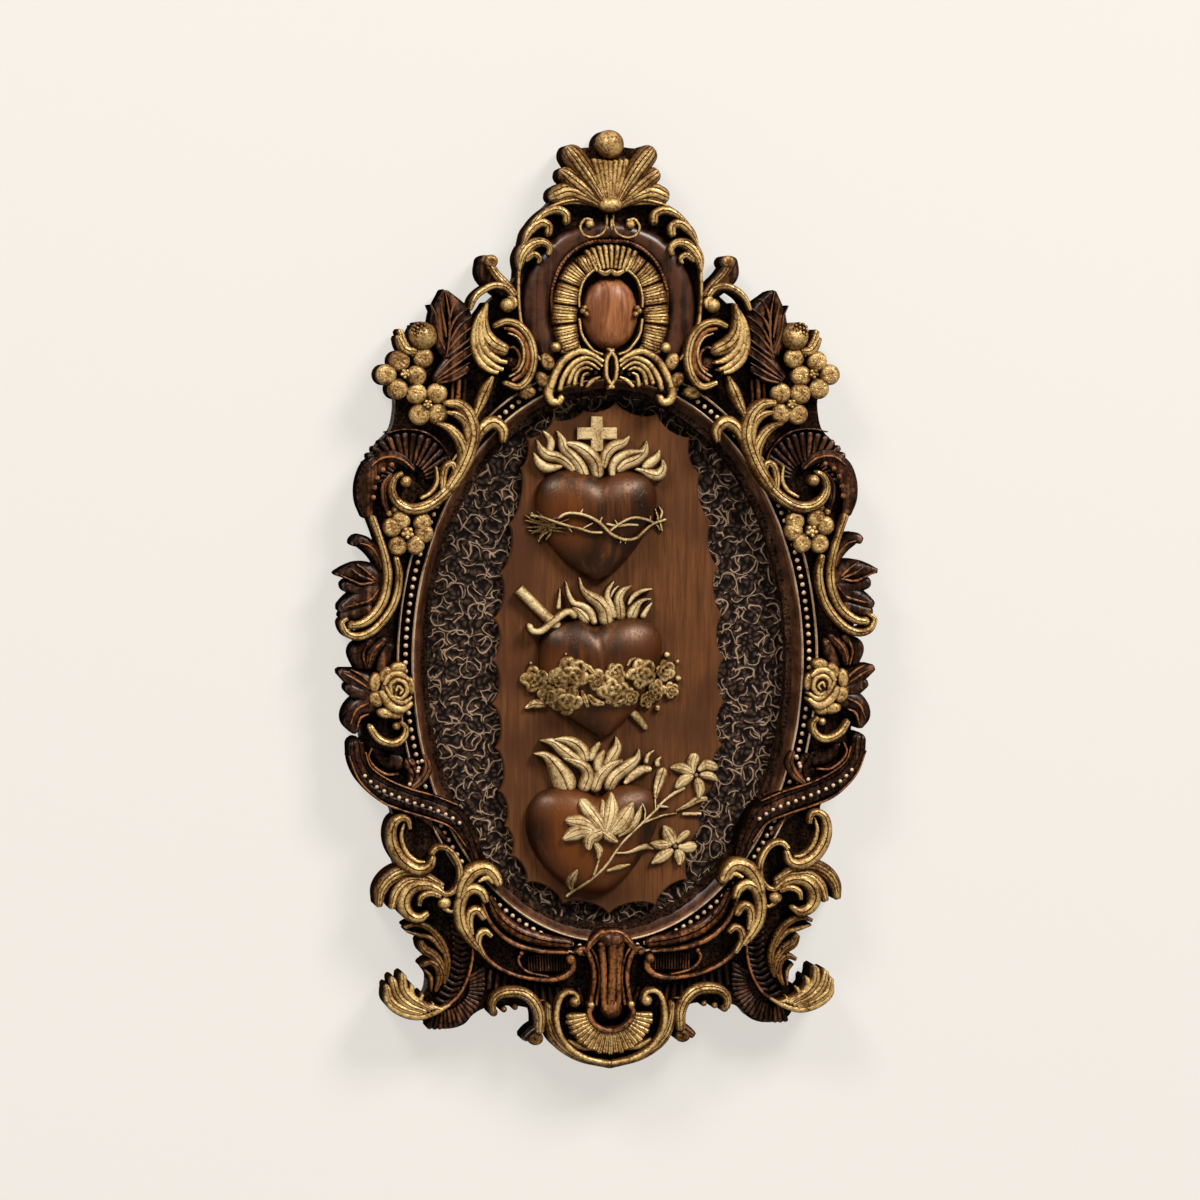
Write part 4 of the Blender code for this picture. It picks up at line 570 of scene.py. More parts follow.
NET_SPACING, TOOL_MARKS = 0.004, 0.0009
REBATE, REBATE_DEPTH = 0.004, 0.0085  # the step behind the opening, for the panel
left = plan(OUTLINE, 0.0)
left[0, 0] = left[-1, 0] = 0.0
whole = smooth_curve(np.vstack([left, (left * (-1, 1))[-2:0:-1]]), closed=True, per_span=5)
BLOCK = finish("block_walnut", (0.005, 0.0025, 0.0015), (0.030, 0.013, 0.0065), (0.130, 0.058, 0.028),
               0.8, 0.0, speckle=0.6, levels=(-0.02, 0.0), grain=0.5, size=500.0)
frame_block = block("frame_block", whole, oval(0.0, 160), oval(REBATE, 160), BLOCK)

# %% [markdown]
# The moulding round the opening is one closed ring with the same section all the way: a
# sloping brown band, a thin bright line, a dark channel for the beads and a second line.

# %% The oval moulding
def oval_ring(store, section):
    """A ring round the opening. Its section lists squares outside it, heights and crests."""
    sides = 260
    rings = [oval(part[0] * SQUARE, sides) for part in section]
    x = np.stack([ring[:, 0] for ring in rings], axis=1)
    z = np.stack([ring[:, 1] for ring in rings], axis=1)
    level = np.repeat(np.array([[part[1] for part in section]]), sides, axis=0)
    number = store.count + np.arange(x.size).reshape(x.shape)
    store.quads.append(ring_faces(number[np.append(np.arange(sides), 0)]))
    store.points.append(np.stack([x, -level, z], -1).reshape(-1, 3))
    store.crests.append(np.tile([part[2] if len(part) > 2 else 0.9 for part in section], sides))
    store.count += x.size


def half_round(middle, radius, base, rise):
    """The section of a thin raised line."""
    turns = np.linspace(0, math.pi, 7)
    arc = [(middle - radius * math.cos(a), base + rise * math.sin(a)) for a in turns]
    return [(middle - radius, base - 0.003)] + arc + [(middle + radius, base - 0.003)]


moulding = Carving()
# The third numbers paint light and shade: painted highlights on both edges of the brown band, painted shade
# down the inner wall and in the bead channel.
oval_ring(moulding, [(0.05, 0.0090, 0), (0.05, 0.0165, 0.3), (0.5, 0.0176, 1.0), (1.4, 0.0183, 1.0),
                     (2.4, 0.0184, 0.5), (7.0, 0.0204, 0.55), (11.4, 0.0228, 0.6), (12.4, 0.0240, 0.9),
                     (13.4, 0.0248, 1.0), (14.0, 0.0249, 0.7), (14.5, 0.0244, 0.3), (17.2, 0.0226, 0.05),
                     (27.6, 0.0226, 0.05), (28.8, 0.0240, 0.2), (31.5, 0.0240, 0.3), (33.0, 0.0195, 0.1),
                     (33.0, 0.0090, 0)])
MOULDING = finish("moulding_walnut", (0.004, 0.002, 0.001), (0.045, 0.017, 0.0075),
                  (0.150, 0.060, 0.028), 0.40, 0.0, speckle=0.15, levels=(0.0135, 0.0175), grain=0.3)
oval_moulding = moulding.make("oval_moulding", MOULDING)
lines = Carving()
oval_ring(lines, half_round(15.3, 1.15, 0.0243, 0.0024))
oval_ring(lines, half_round(30.2, 1.15, 0.0238, 0.0024))
oval_ring(lines, half_round(0.9, 0.45, 0.0174, 0.0008))
gilt_lines = lines.make("gilt_lines", BRIGHT_LINE)

# %% [markdown]
# Beads and pearls repeat along a path, so Geometry Nodes set them out. The tree takes a
# drawn line, puts points on it at an even pitch, and places a small ball on each. It ends
# by making the copies real, and the result is turned into a plain mesh.

# %% Pearls on a path
def mesh_tree(name, inputs):
    """An empty tree with named inputs, and the identifier of each of them."""
    tree = bpy.data.node_groups.new(name, "GeometryNodeTree")
    tree.interface.new_socket("Geometry", in_out="INPUT", socket_type="NodeSocketGeometry")
    sockets = {}
    for label, default in inputs:
        made = tree.interface.new_socket(label, in_out="INPUT", socket_type="NodeSocketFloat")
        made.default_value = default
        sockets[label] = made.identifier
    sockets["Finish"] = tree.interface.new_socket("Finish", in_out="INPUT",
                                                  socket_type="NodeSocketMaterial").identifier
    tree.interface.new_socket("Geometry", in_out="OUTPUT", socket_type="NodeSocketGeometry")
    return tree, sockets, tree.nodes.new("NodeGroupInput"), tree.nodes.new("NodeGroupOutput")


def close_tree(tree, given, out, shape, crest):
    """Make copies real, keep how near each point is to a crest, and set the finish."""
    real = node(tree, "GeometryNodeRealizeInstances", {"Geometry": shape})
    kept = node(tree, "GeometryNodeStoreNamedAttribute", {"Geometry": real.outputs[0], "Name": "crest",
                                                          "Value": crest}, data_type="FLOAT", domain="POINT")
    done = node(tree, "GeometryNodeSetMaterial", {"Geometry": kept.outputs[0],
                                                  "Material": given.outputs["Finish"]})
    tree.links.new(done.outputs[0], out.inputs[0])


def pearl_tree():
    tree, sockets, given, out = mesh_tree("Pearls on a path", (("Pitch", 0.005), ("Radius", 0.0015)))
    curve = node(tree, "GeometryNodeMeshToCurve", {"Mesh": given.outputs["Geometry"]})
    even = node(tree, "GeometryNodeResampleCurve", {"Curve": curve.outputs[0],
                                                    "Length": given.outputs["Pitch"]}, mode="LENGTH")
    ball = node(tree, "GeometryNodeMeshUVSphere", {"Segments": 12, "Rings": 8,
                                                   "Radius": given.outputs["Radius"]})
    strewn = node(tree, "GeometryNodeInstanceOnPoints", {"Points": even.outputs[0],
                                                         "Instance": ball.outputs["Mesh"]})
    close_tree(tree, given, out, strewn.outputs[0], 1.0)
    return tree, sockets


PEARLS, PEARL_SOCKETS = pearl_tree()


def baked(name, mesh, tree, sockets, **values):
    """Run a tree on a mesh with its inputs set by label, and keep the result as a plain mesh."""
    holder = added(name, mesh)
    modifier = holder.modifiers.new("tree", "NODES")
    modifier.node_group = tree
    for label, value in values.items():
        modifier[sockets[label.replace("_", " ")]] = value
    bpy.context.view_layer.update()
    made = bpy.data.meshes.new_from_object(
        holder.evaluated_get(bpy.context.evaluated_depsgraph_get()))
    holder.modifiers.clear()
    bpy.data.objects.remove(holder, do_unlink=True)
    made.name = name
    return made


def pearls(name, paths, radius, pitch, material):
    """Balls along lines of (x, height, z) points in metres."""
    points, edges = [], []
    for path, closed in paths:
        start, count = len(points), len(path)
        points += [(x, -h, z) for x, h, z in path]
        edges += [(start + i, start + (i + 1) % count) for i in range(count if closed else count - 1)]
    mesh = bpy.data.meshes.new(name)
    mesh.from_pydata(points, edges, [])
    made = baked(name, mesh, PEARLS, PEARL_SOCKETS, Pitch=pitch * SQUARE, Radius=radius * SQUARE,
                 Finish=material)
    return place(name, made, material, 60)


def pearl_lines(tables, height):
    """Drawn lines of pearls on both halves."""
    made = []
    for table in tables:
        for side in BOTH:
            curve = smooth_curve(plan(table, height) * (side, 1))
            made.append(([(x, height, z) for x, z in curve], False))
    return made


channel = [(x, 0.0236, z) for x, z in oval(22.5 * SQUARE, 400)]
oval_beads = pearls("oval_beads", [(channel, True)], 2.3, 8.4, BRIGHT_LINE)
strap_pearls = pearls("strap_pearls", pearl_lines([
    [(365, 771), (375, 781), (387, 788), (401, 794), (417, 800), (432, 805), (446, 811), (458, 819)],
    [(417, 767), (413, 773), (409, 780)], [(421, 757), (418, 764)]], 0.0305), 1.9, 7.8, BRIGHT_LINE)
volute_pearls = pearls("volute_pearls", pearl_lines([
    [(392, 464), (382, 470), (376, 482), (374, 496)]], 0.0300), 2.5, 9.0, COPPER)
rim_pearls = pearls("rim_pearls", pearl_lines([
    [(607, 242), (590, 243), (573, 251), (558, 268), (550, 290)]], 0.0285), 1.3, 3.6, COPPER)

# %% [markdown]
# Now the carving itself, place by place, from the crest down. Each line of a table is one
# cut band: its curve on the drawing, its half widths along the way, and its height. Bands
# of old gold, waxed walnut and copper brown go into stores of their own.

# %% The crest: ball, shell and cartouche
crest_gold, crest_wood, crest_copper = Carving(), Carving(), Carving()
crest_polished, cabochon = Carving(), Carving()
G, W, C, P = crest_gold, crest_wood, crest_copper, crest_polished
boss(G, (609, 147), 14.5, 0.0375, base=0.022, sides=LEFT, around=40, rings=14)
boss(G, (609, 207), (12.5, 7.5), 0.0385, base=0.027, sides=LEFT, around=36, rings=12)
for k in range(-3, 4):
    band(G, [(608 + 1.5 * k, 205), (608 + 3.4 * k, 186), (608 + 5.3 * k, 165 - 0.6 * abs(k))],
         (1.2, 2.4, 2.9), 0.0350, sides=LEFT, bright=0.82)
band(G, [(604, 207), (592, 186), (580, 168), (570, 155)], (2, 8.5, 11.5, 8.5), 0.0362, cuts=4, depth=0.16,
     lobes=3, lobe_depth=0.06, bright=0.8)
band(G, [(602, 208), (587, 195), (574, 184), (564, 176)], (2, 6.5, 9, 7), 0.0340, cuts=3, depth=0.16,
     bright=0.85)
band(G, [(599, 208), (582, 199), (567, 194), (555, 198)], (2, 6.5, 9.5, 8), 0.0330, cuts=3, depth=0.16,
     bright=0.9)
band(G, [(592, 207), (572, 204), (556, 207)], (1, 2.6, 1.2), 0.0300, cuts=1)
for line, half, top in (([(592, 204), (572, 202), (551, 208), (535, 220), (525, 236), (519, 260),
                          (517, 290), (519, 320), (526, 342), (538, 360)], (1.2, 1.5, 1.6, 1.6), 0.0316),
                        ([(604, 216), (604, 226), (600, 235), (590, 239), (581, 236), (578, 228),
                          (583, 221), (590, 222)], (1.2, 1.3, 1.4, 1.5), 0.0300)):
    band(G, line, half, top, base=0.022, bright=0.9)
boss(G, (588, 226), 4.6, 0.0335, base=0.022)
boss(G, (609, 226), (1.8, 7), 0.0300, sides=LEFT)
band(G, [(534, 224), (543, 216), (555, 212), (564, 216), (565, 224)], (1, 3.2, 4.5, 4.0, 3.6), 0.0345,
     cuts=1, depth=0.2)
band(G, [(522, 246), (529, 233), (539, 225), (547, 228), (547, 236)], (1, 3.8, 4.8, 4.2, 3.4), 0.0345,
     cuts=1, depth=0.2)
band(G, [(518, 272), (521, 258), (530, 247), (541, 244), (548, 249), (547, 256)],
     (1, 5, 7, 5, 3.4, 2.4), 0.0340, cuts=3, depth=0.16)
band(G, [(524, 262), (532, 256), (538, 260), (536, 265)], (2, 3.6, 3, 1.2), 0.0325, cuts=1)
band(P, [(604, 232), (584, 236), (562, 247), (545, 268), (536, 296), (536, 322), (546, 350)],
     (9, 10.5, 13, 15, 15.5, 12), 0.0296, base=0.0205, edge=0.1)
band(W, [(607, 243), (589, 244), (571, 253), (557, 270), (550, 294), (552, 322), (560, 346)], 2.0,
     0.0288, base=0.021)
boss(cabochon, (609, 314), (29, 37), 0.0352, base=0.0210, sides=LEFT, around=72, rings=22, power=2.6)
for line in ([(607, 268), (594, 270), (582, 281), (577, 297), (577, 308)],
             [(577, 320), (580, 336), (590, 350), (600, 355)]):
    band(G, line, 1.3, 0.0338, base=0.026)
for spot in ((583, 309), (584.5, 315), (581, 312)):
    boss(G, spot, 3.0, 0.0362, base=0.028)
band(G, [(596, 272), (603, 275), (608, 272)], (1.5, 3.2, 2), 0.0350, base=0.026, cuts=1)
for k in range(9):
    turn = math.radians(-26 + 6.5 * k)
    band(G, [(609 + 33 * math.sin(turn), 302 - 33 * math.cos(turn)),
             (609 + 54 * math.sin(turn), 302 - 54 * math.cos(turn))], (1.5, 2.3), 0.0352, base=0.024,
         sides=LEFT, edge=0.5)
band(G, [(594, 262), (583, 267), (573, 277), (567, 291), (564, 306), (563, 322), (566, 338), (570, 350)],
     (9, 10, 11, 11.5, 12, 12, 11, 8.5), 0.0348, base=0.024, veins=34, slant=0.12, vein_depth=0.22,
     edge=0.72, gaps=(0.17, 0.36, 0.56, 0.75), lobes=14, lobe_depth=0.05, blunt=True)
band(G, [(560, 350), (570, 351), (577, 347)], (4, 5, 3), 0.0330, cuts=1)
boss(G, (554, 348), 5.4, 0.0352, base=0.022)

# %% The clasp under the cartouche
band(G, [(611, 350), (604.5, 360), (604.5, 377), (611, 388)], 1.9, 0.0368, base=0.024, step=0.0007)
band(C, [(611, 356), (611, 382)], (2, 4.5, 2), 0.0300, base=0.022, sides=LEFT, hollow=0.4)
for line, half, top in (([(601, 362), (590, 355), (577, 352), (563, 360), (554, 374), (549, 388)],
                         (1.6, 3.0, 3.4, 3.4, 3.2), 0.0362),
                        ([(600, 367), (592, 360), (583, 358), (570, 365), (561, 379), (558, 390)],
                         (1.2, 2.4, 2.8, 2.8, 2.4), 0.0350),
                        ([(597, 370), (590, 365), (582, 363), (572, 370), (566, 384)],
                         (1, 2.2, 2.6, 2.2), 0.0338),
                        ([(590, 370), (583, 368), (575, 373), (572, 385)], (1, 2.0, 2.4, 2.0), 0.0326),
                        ([(586, 373), (581, 376), (579, 386)], (1, 1.8, 2.0), 0.0314)):
    band(G, line, half, top)
band(G, [(550, 384), (547, 393), (550, 401), (557, 402), (560, 397)], (3.6, 4.4, 4.2, 3.8, 3.0), 0.0352)
band(G, [(598, 377), (590, 381), (584, 387)], (1, 2.4, 1.6), 0.0300)
gold_crest = crest_gold.make("gold_crest", OLD_GOLD)
cartouche_ring = crest_polished.make("cartouche_ring", POLISHED)
walnut_crest = crest_wood.make("walnut_crest", WALNUT)
clasp_slot = crest_copper.make("clasp_slot", COPPER)

# %% [markdown]
# The shoulders carry a horn, a crescent leaf, a ridged C-scroll, three brown leaves, a bud
# and two small flowers with pitted petals. A brown leaf is a few broad hollow fields, with
# thin ridges that run over them to the tips.

# %% Small flowers
def blossom(store, centre, petals, radius, middle, top):
    """Pitted petals round a cluster of seeds."""
    for petal in petals:
        boss(store, petal, np.multiply(radius, 1.28), top - 0.0012, pits=0.11, dimple=0.09, power=3.0,
             around=28, rings=12)
    boss(store, centre, middle, top, pits=0.16, around=20, rings=7)
    for k in range(5):
        turn = 2 * math.pi * k / 5 + 0.4
        spot = (centre[0] + middle * 0.75 * math.cos(turn), centre[1] + middle * 0.75 * math.sin(turn))
        boss(store, spot, middle * 0.42, top + 0.0004, around=12, rings=5)


# %% A broad leaf with thin ridges
def leaf(blade, ridge, fields, ridges, top):
    """Broad smooth fields, and thin ridges that run over them to the tips."""
    for line, half in fields:
        band(blade, line, half, top, hollow=0.12, bright=0.7)
    for line in ridges:
        band(ridge, line, (0.6, 1.3, 1.4, 0.9, 0.4), top + 0.0009, edge=0.4)


# %% The shoulders
shoulder_gold, shoulder_wood, shoulder_copper = Carving(), Carving(), Carving()
G, W, C = shoulder_gold, shoulder_wood, shoulder_copper
band(G, [(514, 296), (505, 286), (496, 277), (490, 268)], (3, 4.5, 4.5, 4), 0.0325, cuts=2, depth=0.25,
     bright=0.85)
boss(G, (491, 263), 6.6, 0.0345, around=28, rings=9, dimple=0.25)
band(W, [(512, 300), (496, 288), (484, 276), (484, 262)], (5, 7, 7, 6), 0.0270)
band(G, [(470, 311), (475, 299), (484, 291), (494, 287), (505, 289), (512, 297)],
     (1.5, 2.6, 3.2, 3.4, 3.4, 2.6), 0.0355, cuts=1, depth=0.2)
boss(G, (507.5, 306.5), 7.2, 0.0378, around=32, rings=10)
band(G, [(509, 298), (514, 303), (512, 309)], (2.5, 3, 2), 0.0350)
for line, half, top in (([(486, 305), (476, 324), (473.5, 344), (478, 360), (488, 370), (497, 373)],
                         (0.8, 2.6, 3.4, 3.6, 3.4, 1.8), 0.0362),
                        ([(486, 306), (478, 325), (477, 344), (483, 358), (494, 367), (502, 370)],
                         (0.8, 2.8, 3.6, 3.8, 3.6, 1.8), 0.0368),
                        ([(486, 307), (480, 326), (481, 343), (488, 354), (498, 361), (506, 363)],
                         (0.8, 2.8, 3.8, 4.0, 3.6, 1.6), 0.0374)):
    band(G, line, half, top)
band(G, [(486.5, 304), (483, 320), (484, 334), (492, 345), (504, 351)], (0.8, 4.4, 7.6, 8.2, 5.6), 0.0378,
     cuts=2, depth=0.1, hollow=0.2)
band(G, [(494, 327), (506, 322.5), (519, 327), (529, 340), (532.5, 359), (528, 377), (518, 387), (504, 383)],
     (2.6, 3.4, 3.6, 3.8, 3.8, 3.8, 3.4, 2.2), 0.0366, cuts=1, depth=0.3)
band(C, [(503, 329), (514, 332), (523, 343), (526.5, 359), (522, 373), (511, 381)],
     (1.6, 2.6, 3, 3, 2.8, 1.6), 0.0350)
band(G, [(507, 334), (516, 338), (521.5, 347), (522, 360), (517, 371), (508, 377)],
     (0.8, 1.3, 1.5, 1.5, 1.3, 0.9), 0.0346)
boss(W, (510, 364), 8, 0.0300, pits=0.25, around=30, rings=9)
band(C, [(503, 350), (512, 348), (518, 356), (517, 366), (510, 371)], (1, 1.6, 1.8, 1.4), 0.0305)
for spot, radius, turned in (((546, 362), (7, 9.5), 0.4), ((541, 380), (6.5, 9), 0.7),
                             ((526, 393), (9, 6), 0.2)):
    boss(G, spot, radius, 0.0325, pits=0.14, dimple=0.12, turned=turned, power=2.5)
leaf(W, W, [([(447, 358), (458, 338), (461, 318), (446, 292)], (5, 11, 10.5, 0.8)),
            ([(444, 354), (438, 336), (440, 312), (444, 291)], (4, 8, 7, 0.6))],
     [[(447, 357), (459, 348), (470, 339)], [(447, 352), (459, 338), (471, 328)],
      [(448, 345), (458, 328), (471, 317)], [(448, 336), (455, 320), (469, 308)],
      [(448, 326), (452, 310), (459, 300)], [(446, 357), (449, 340), (449, 318), (445, 293)],
      [(444, 350), (438, 334), (436, 318), (431, 306)], [(446, 338), (443, 320), (440, 304)]], 0.0322)
leaf(W, W, [([(436, 379), (450, 364), (471, 349)], (4, 9.5, 3)),
            ([(438, 382), (452, 376), (467, 368)], (3, 7.5, 3))],
     [[(435, 377), (450, 361), (470, 346)], [(437, 379), (453, 367), (471, 354)],
      [(438, 381), (453, 373), (469, 363)], [(440, 383), (453, 380), (466, 373)]], 0.0322)
boss(G, (425, 337), 14.2, 0.0384, base=0.024, around=44, rings=16)
for k in range(16):
    ring, turn = (0.30, k) if k < 5 else (0.62, k + 0.5)
    angle = 2 * math.pi * turn / (5 if k < 5 else 11)
    boss(G, (421 + 11 * ring * math.cos(angle), 331 + 11 * ring * math.sin(angle)), 1.7,
         0.0386 if k < 5 else 0.0376, base=0.030, around=8, rings=4, bright=0.8)
band(G, [(416, 352), (406, 350), (399, 338)], (3, 4.6, 4.6, 2), 0.0330, cuts=1)
band(G, [(414, 356), (405, 343), (401, 332)], (2, 3.6, 2.6), 0.0315, cuts=1)
blossom(G, (406, 374), ((401, 361.5), (424, 358.5), (388, 375), (399, 389), (417, 376)), 8.2, 4.4, 0.0345)
blossom(G, (428, 404), ((417.5, 394), (437.5, 393.5), (420.5, 414.5), (438, 414)), 8.4, 4.2, 0.0345)
band(G, [(450, 487), (461, 470), (469, 452), (473, 434), (469, 416), (459, 405), (446, 403)],
     (5.4, 6.4, 6.8, 7.2, 7.4, 6.4, 2.4), 0.0380, cuts=2, depth=0.14)
band(G, [(470, 440), (467, 424), (458, 415), (447, 412)], (4, 5.2, 4.6, 1.2), 0.0372, cuts=1, depth=0.14)
band(G, [(456, 477), (464, 458), (461, 442), (451, 429), (438, 423)],
     (4, 5.6, 6.0, 4.8, 1.6), 0.0364, cuts=2, depth=0.14)
band(G, [(474, 418), (480, 403), (486, 389), (492, 376)], (1.6, 5.0, 5.6, 1), 0.0345, cuts=1, depth=0.28)
band(G, [(474, 446), (481, 430), (492, 422), (502, 429), (502, 441)],
     (2, 5.0, 6.6, 5.6, 2.4), 0.0352, cuts=1, depth=0.16)
band(C, [(458, 380), (457, 401)], 2.6, 0.0270)
band(W, [(464, 380), (463, 403)], 1.8, 0.0262)
band(W, [(452, 380), (451, 401)], 1.8, 0.0262)

# %% [markdown]
# The sides: a ribbed fan with a gilded spiral in front of it, a flower, the long double
# scroll, brown leaves at the edge, a rose of broad petals round curled bands, and a strap
# set with pearls.

# %% The sides
side_gold, side_wood, side_copper = Carving(), Carving(), Carving()
G, W, C = side_gold, side_wood, side_copper
for k in range(17):
    turn = math.radians(8 + 172 * k / 16)
    inner = (408 + 17 * math.cos(turn), 480 - 17 * math.sin(turn))
    outer = (408 + 43 * math.cos(turn), 480 - 46 * math.sin(turn))
    band(W, [inner, outer], (1.2, 3.6), 0.0262, base=0.0205, edge=0.1)
band(C, [(450, 478), (448, 456), (437, 440), (422, 431), (404, 429), (388, 432)], (0.8, 0.9, 0.6), 0.0272,
     base=0.022)
band(W, [(413, 468), (400, 458), (386, 458), (374, 468), (368, 482), (366, 498), (369, 514)],
     (3, 5, 8, 9.5, 9, 7, 4), 0.0285, hollow=0.45, edge=0.75)
band(C, [(414, 469), (404, 460), (392, 456), (381, 458), (372, 465)], (1, 1.4, 1.2, 0.8), 0.0312)
band(W, [(391, 474), (385, 484), (385, 498), (388, 510)], (2, 3.5, 3.5, 2), 0.0300, cuts=1)
band(G, [(458, 470), (450, 486), (438, 498), (424, 506), (410, 507), (398, 500), (393, 488), (396, 477),
         (403, 472)], (5, 5.6, 5.6, 5.6, 5.4, 5, 4.2, 3.2, 2), 0.0362, cuts=2, depth=0.26)
boss(G, (407, 480.5), 5.8, 0.0384, around=26, rings=9)
band(G, [(436, 466), (437, 480), (431, 491), (421, 497)], (1, 1.8, 2.2, 1.5), 0.0340)
band(G, [(444, 492), (443, 478), (446, 466), (452, 463), (455, 469)], (2.6, 3.4, 3.4, 3.4, 2.4), 0.0352,
     cuts=1)
blossom(G, (408, 531), ((393, 526), (402, 518.5), (423, 521), (424.5, 531.5), (398.5, 544), (416, 543)),
        (7.4, 7.8), 5.6, 0.0352)
for px, py in ((396, 508), (404, 510), (413, 509), (421, 512), (390, 512)):
    boss(G, (px, py), 3.6, 0.0310, pits=0.2, around=14, rings=6)
band(G, [(374, 516), (380, 533), (386, 553), (389, 574), (385, 596), (376, 611), (364, 620), (353, 622)],
     (3.2, 3.0, 3.4, 4.2, 4.4, 4.6, 4.4, 3), 0.0358, cuts=1, depth=0.26)
band(G, [(397, 556), (400, 574), (396, 597), (386, 615), (373, 628), (360, 633), (349, 630), (344, 620),
         (349, 615)], (2.6, 3.4, 3.8, 3.8, 4, 4, 4, 3, 1.6), 0.0352, cuts=1, depth=0.26)
boss(G, (353, 622), 4.6, 0.0350, pits=0.2)
leaf(W, C, [([(383, 566), (379, 555), (371, 545), (361, 538.5), (355, 541)], (4, 6, 6.5, 6.5, 3))],
     [[(382, 565), (378, 553), (370, 544), (361, 541)]], 0.0300)
leaf(W, C, [([(382, 580), (366, 572), (350, 570.5), (338, 571.5)], (8, 13, 9.5, 1.2)),
            ([(382, 592), (368, 595), (354, 600), (344, 606)], (8, 11.5, 9, 4)),
            ([(380, 589), (363, 587), (348, 583)], (8, 9, 5)),
            ([(370, 606), (356, 611), (345, 613)], (5, 7, 4))],
     [[(376, 579), (363, 581.5), (353, 578), (341, 572)], [(376, 577), (366, 568), (358, 562)],
      [(374, 578), (361, 573), (352, 566)], [(379, 587), (371, 597), (359, 601), (347, 604)]], 0.0296)
leaf(W, C, [([(385, 637), (374, 648), (368, 664)], (4, 6, 4)),
            ([(390, 642), (385, 655), (380, 668)], (4, 7, 4)),
            ([(371, 638), (358, 648), (361, 664)], (4, 7, 4))],
     [[(383, 638), (373, 649), (369, 663)], [(368, 640), (364, 652), (367, 666)]], 0.0292)
leaf(W, C, [([(376, 686), (360, 677), (342, 668.5)], (8, 12.5, 2.4)),
            ([(377, 692), (361, 690), (350, 684)], (7, 8, 4)),
            ([(376, 700), (360, 704), (352, 716), (356, 728)], (8, 11, 9, 2.4))],
     [[(370, 685), (355, 675), (344, 669)], [(371, 680), (361, 671), (352, 666)],
      [(369, 699), (357, 706), (351, 720)], [(369, 710), (361, 714), (357, 726)]], 0.0296)
for spot, radius, turned, top in (
        ((376, 678.5), (5.6, 10), -0.1, 0.0352), ((386, 671), (6, 8.5), -0.5, 0.0358),
        ((399, 664.5), (8.5, 6), 0.1, 0.0350), ((377.5, 695), (7, 8.5), 0.3, 0.0355),
        ((386, 709), (9, 5.5), -0.2, 0.0350), ((397, 710), (7.5, 5.5), 0.2, 0.0346),
        ((411, 682), (4, 9), 0.1, 0.0350), ((394, 686), (14, 17), 0.0, 0.0352)):
    boss(G, spot, radius, top, pits=0.10, dimple=0.10, power=2.6, turned=turned, around=32, rings=12)
for line, half, top in (([(382, 688), (391, 701), (402, 705.5), (412, 699)], (3, 4.6, 4.6, 2), 0.0366),
                        ([(386, 682), (393, 693.5), (403, 698.5), (412, 693)], (1.6, 2.8, 3, 1.4), 0.0370),
                        ([(385, 681), (390, 672.5), (400, 670), (409, 676)], (2, 3.6, 3.6, 1.6), 0.0366),
                        ([(392, 689), (391, 681), (397, 676), (405, 679), (407, 688), (401, 694.5),
                          (395, 692)], (1.6, 2.4, 2.6, 2.6, 2.4, 1.6), 0.0373),
                        ([(396, 687), (398.5, 682.5), (402.5, 686), (400, 690)], (1, 1.7, 1.7, 1), 0.0376)):
    band(G, line, half, top, edge=0.25, bright=0.95)
band(G, [(371, 722), (377, 732), (386, 738), (396, 739), (404, 733), (406, 724), (401, 718)],
     (2.6, 3.6, 3.8, 3.8, 3.6, 3, 2), 0.0350, cuts=1)
boss(G, (397, 722), 4.0, 0.0355)
band(C, [(372, 744), (369, 753), (375, 763), (386, 770), (398, 770)], (0.9, 1.3, 1.4, 1.2), 0.0290)
band(W, [(373, 748), (384, 756), (398, 760)], (4, 9, 8), 0.0235)
band(W, [(408, 758), (414, 770), (411, 782)], (5, 8, 5), 0.0292, cuts=1, veins=3)
band(W, [(424, 752), (427, 764), (421, 776), (412, 784)], (2, 5, 5, 2), 0.0305, cuts=1)
band(W, [(357, 740), (360, 758), (370, 774), (388, 786), (412, 795), (437, 804), (455, 814), (468, 834),
         (476, 856)], (7, 8.5, 10, 11, 11, 11, 10, 8, 6), 0.0302, hollow=0.6, edge=0.62, cuts=2,
     depth=0.1, bright=0.62)
band(C, [(366, 748), (371, 762), (386, 774), (408, 784), (434, 792), (456, 801)], (0.6, 0.9, 0.9, 0.6),
     0.0308, base=0.024)
band(C, [(350, 752), (360, 776), (380, 796), (402, 806), (430, 815), (450, 824), (464, 842)],
     (0.6, 1.1, 1.1, 0.8), 0.0300, base=0.022)
band(W, [(403, 806), (418, 812), (432, 822), (444, 836)], (2, 4, 4, 2), 0.0262)
gold_sides = side_gold.make("gold_sides", OLD_GOLD)
gold_shoulders = shoulder_gold.make("gold_shoulders", OLD_GOLD)
walnut_shoulders = shoulder_wood.make("walnut_shoulders", WALNUT)
copper_shoulders = shoulder_copper.make("copper_shoulders", COPPER)

# %% [markdown]
# The lower corners are the boldest: a double C-scroll, a ridged shell leaf, tall acanthus
# curls over the moulding, and a foot that turns out and up like a wave.

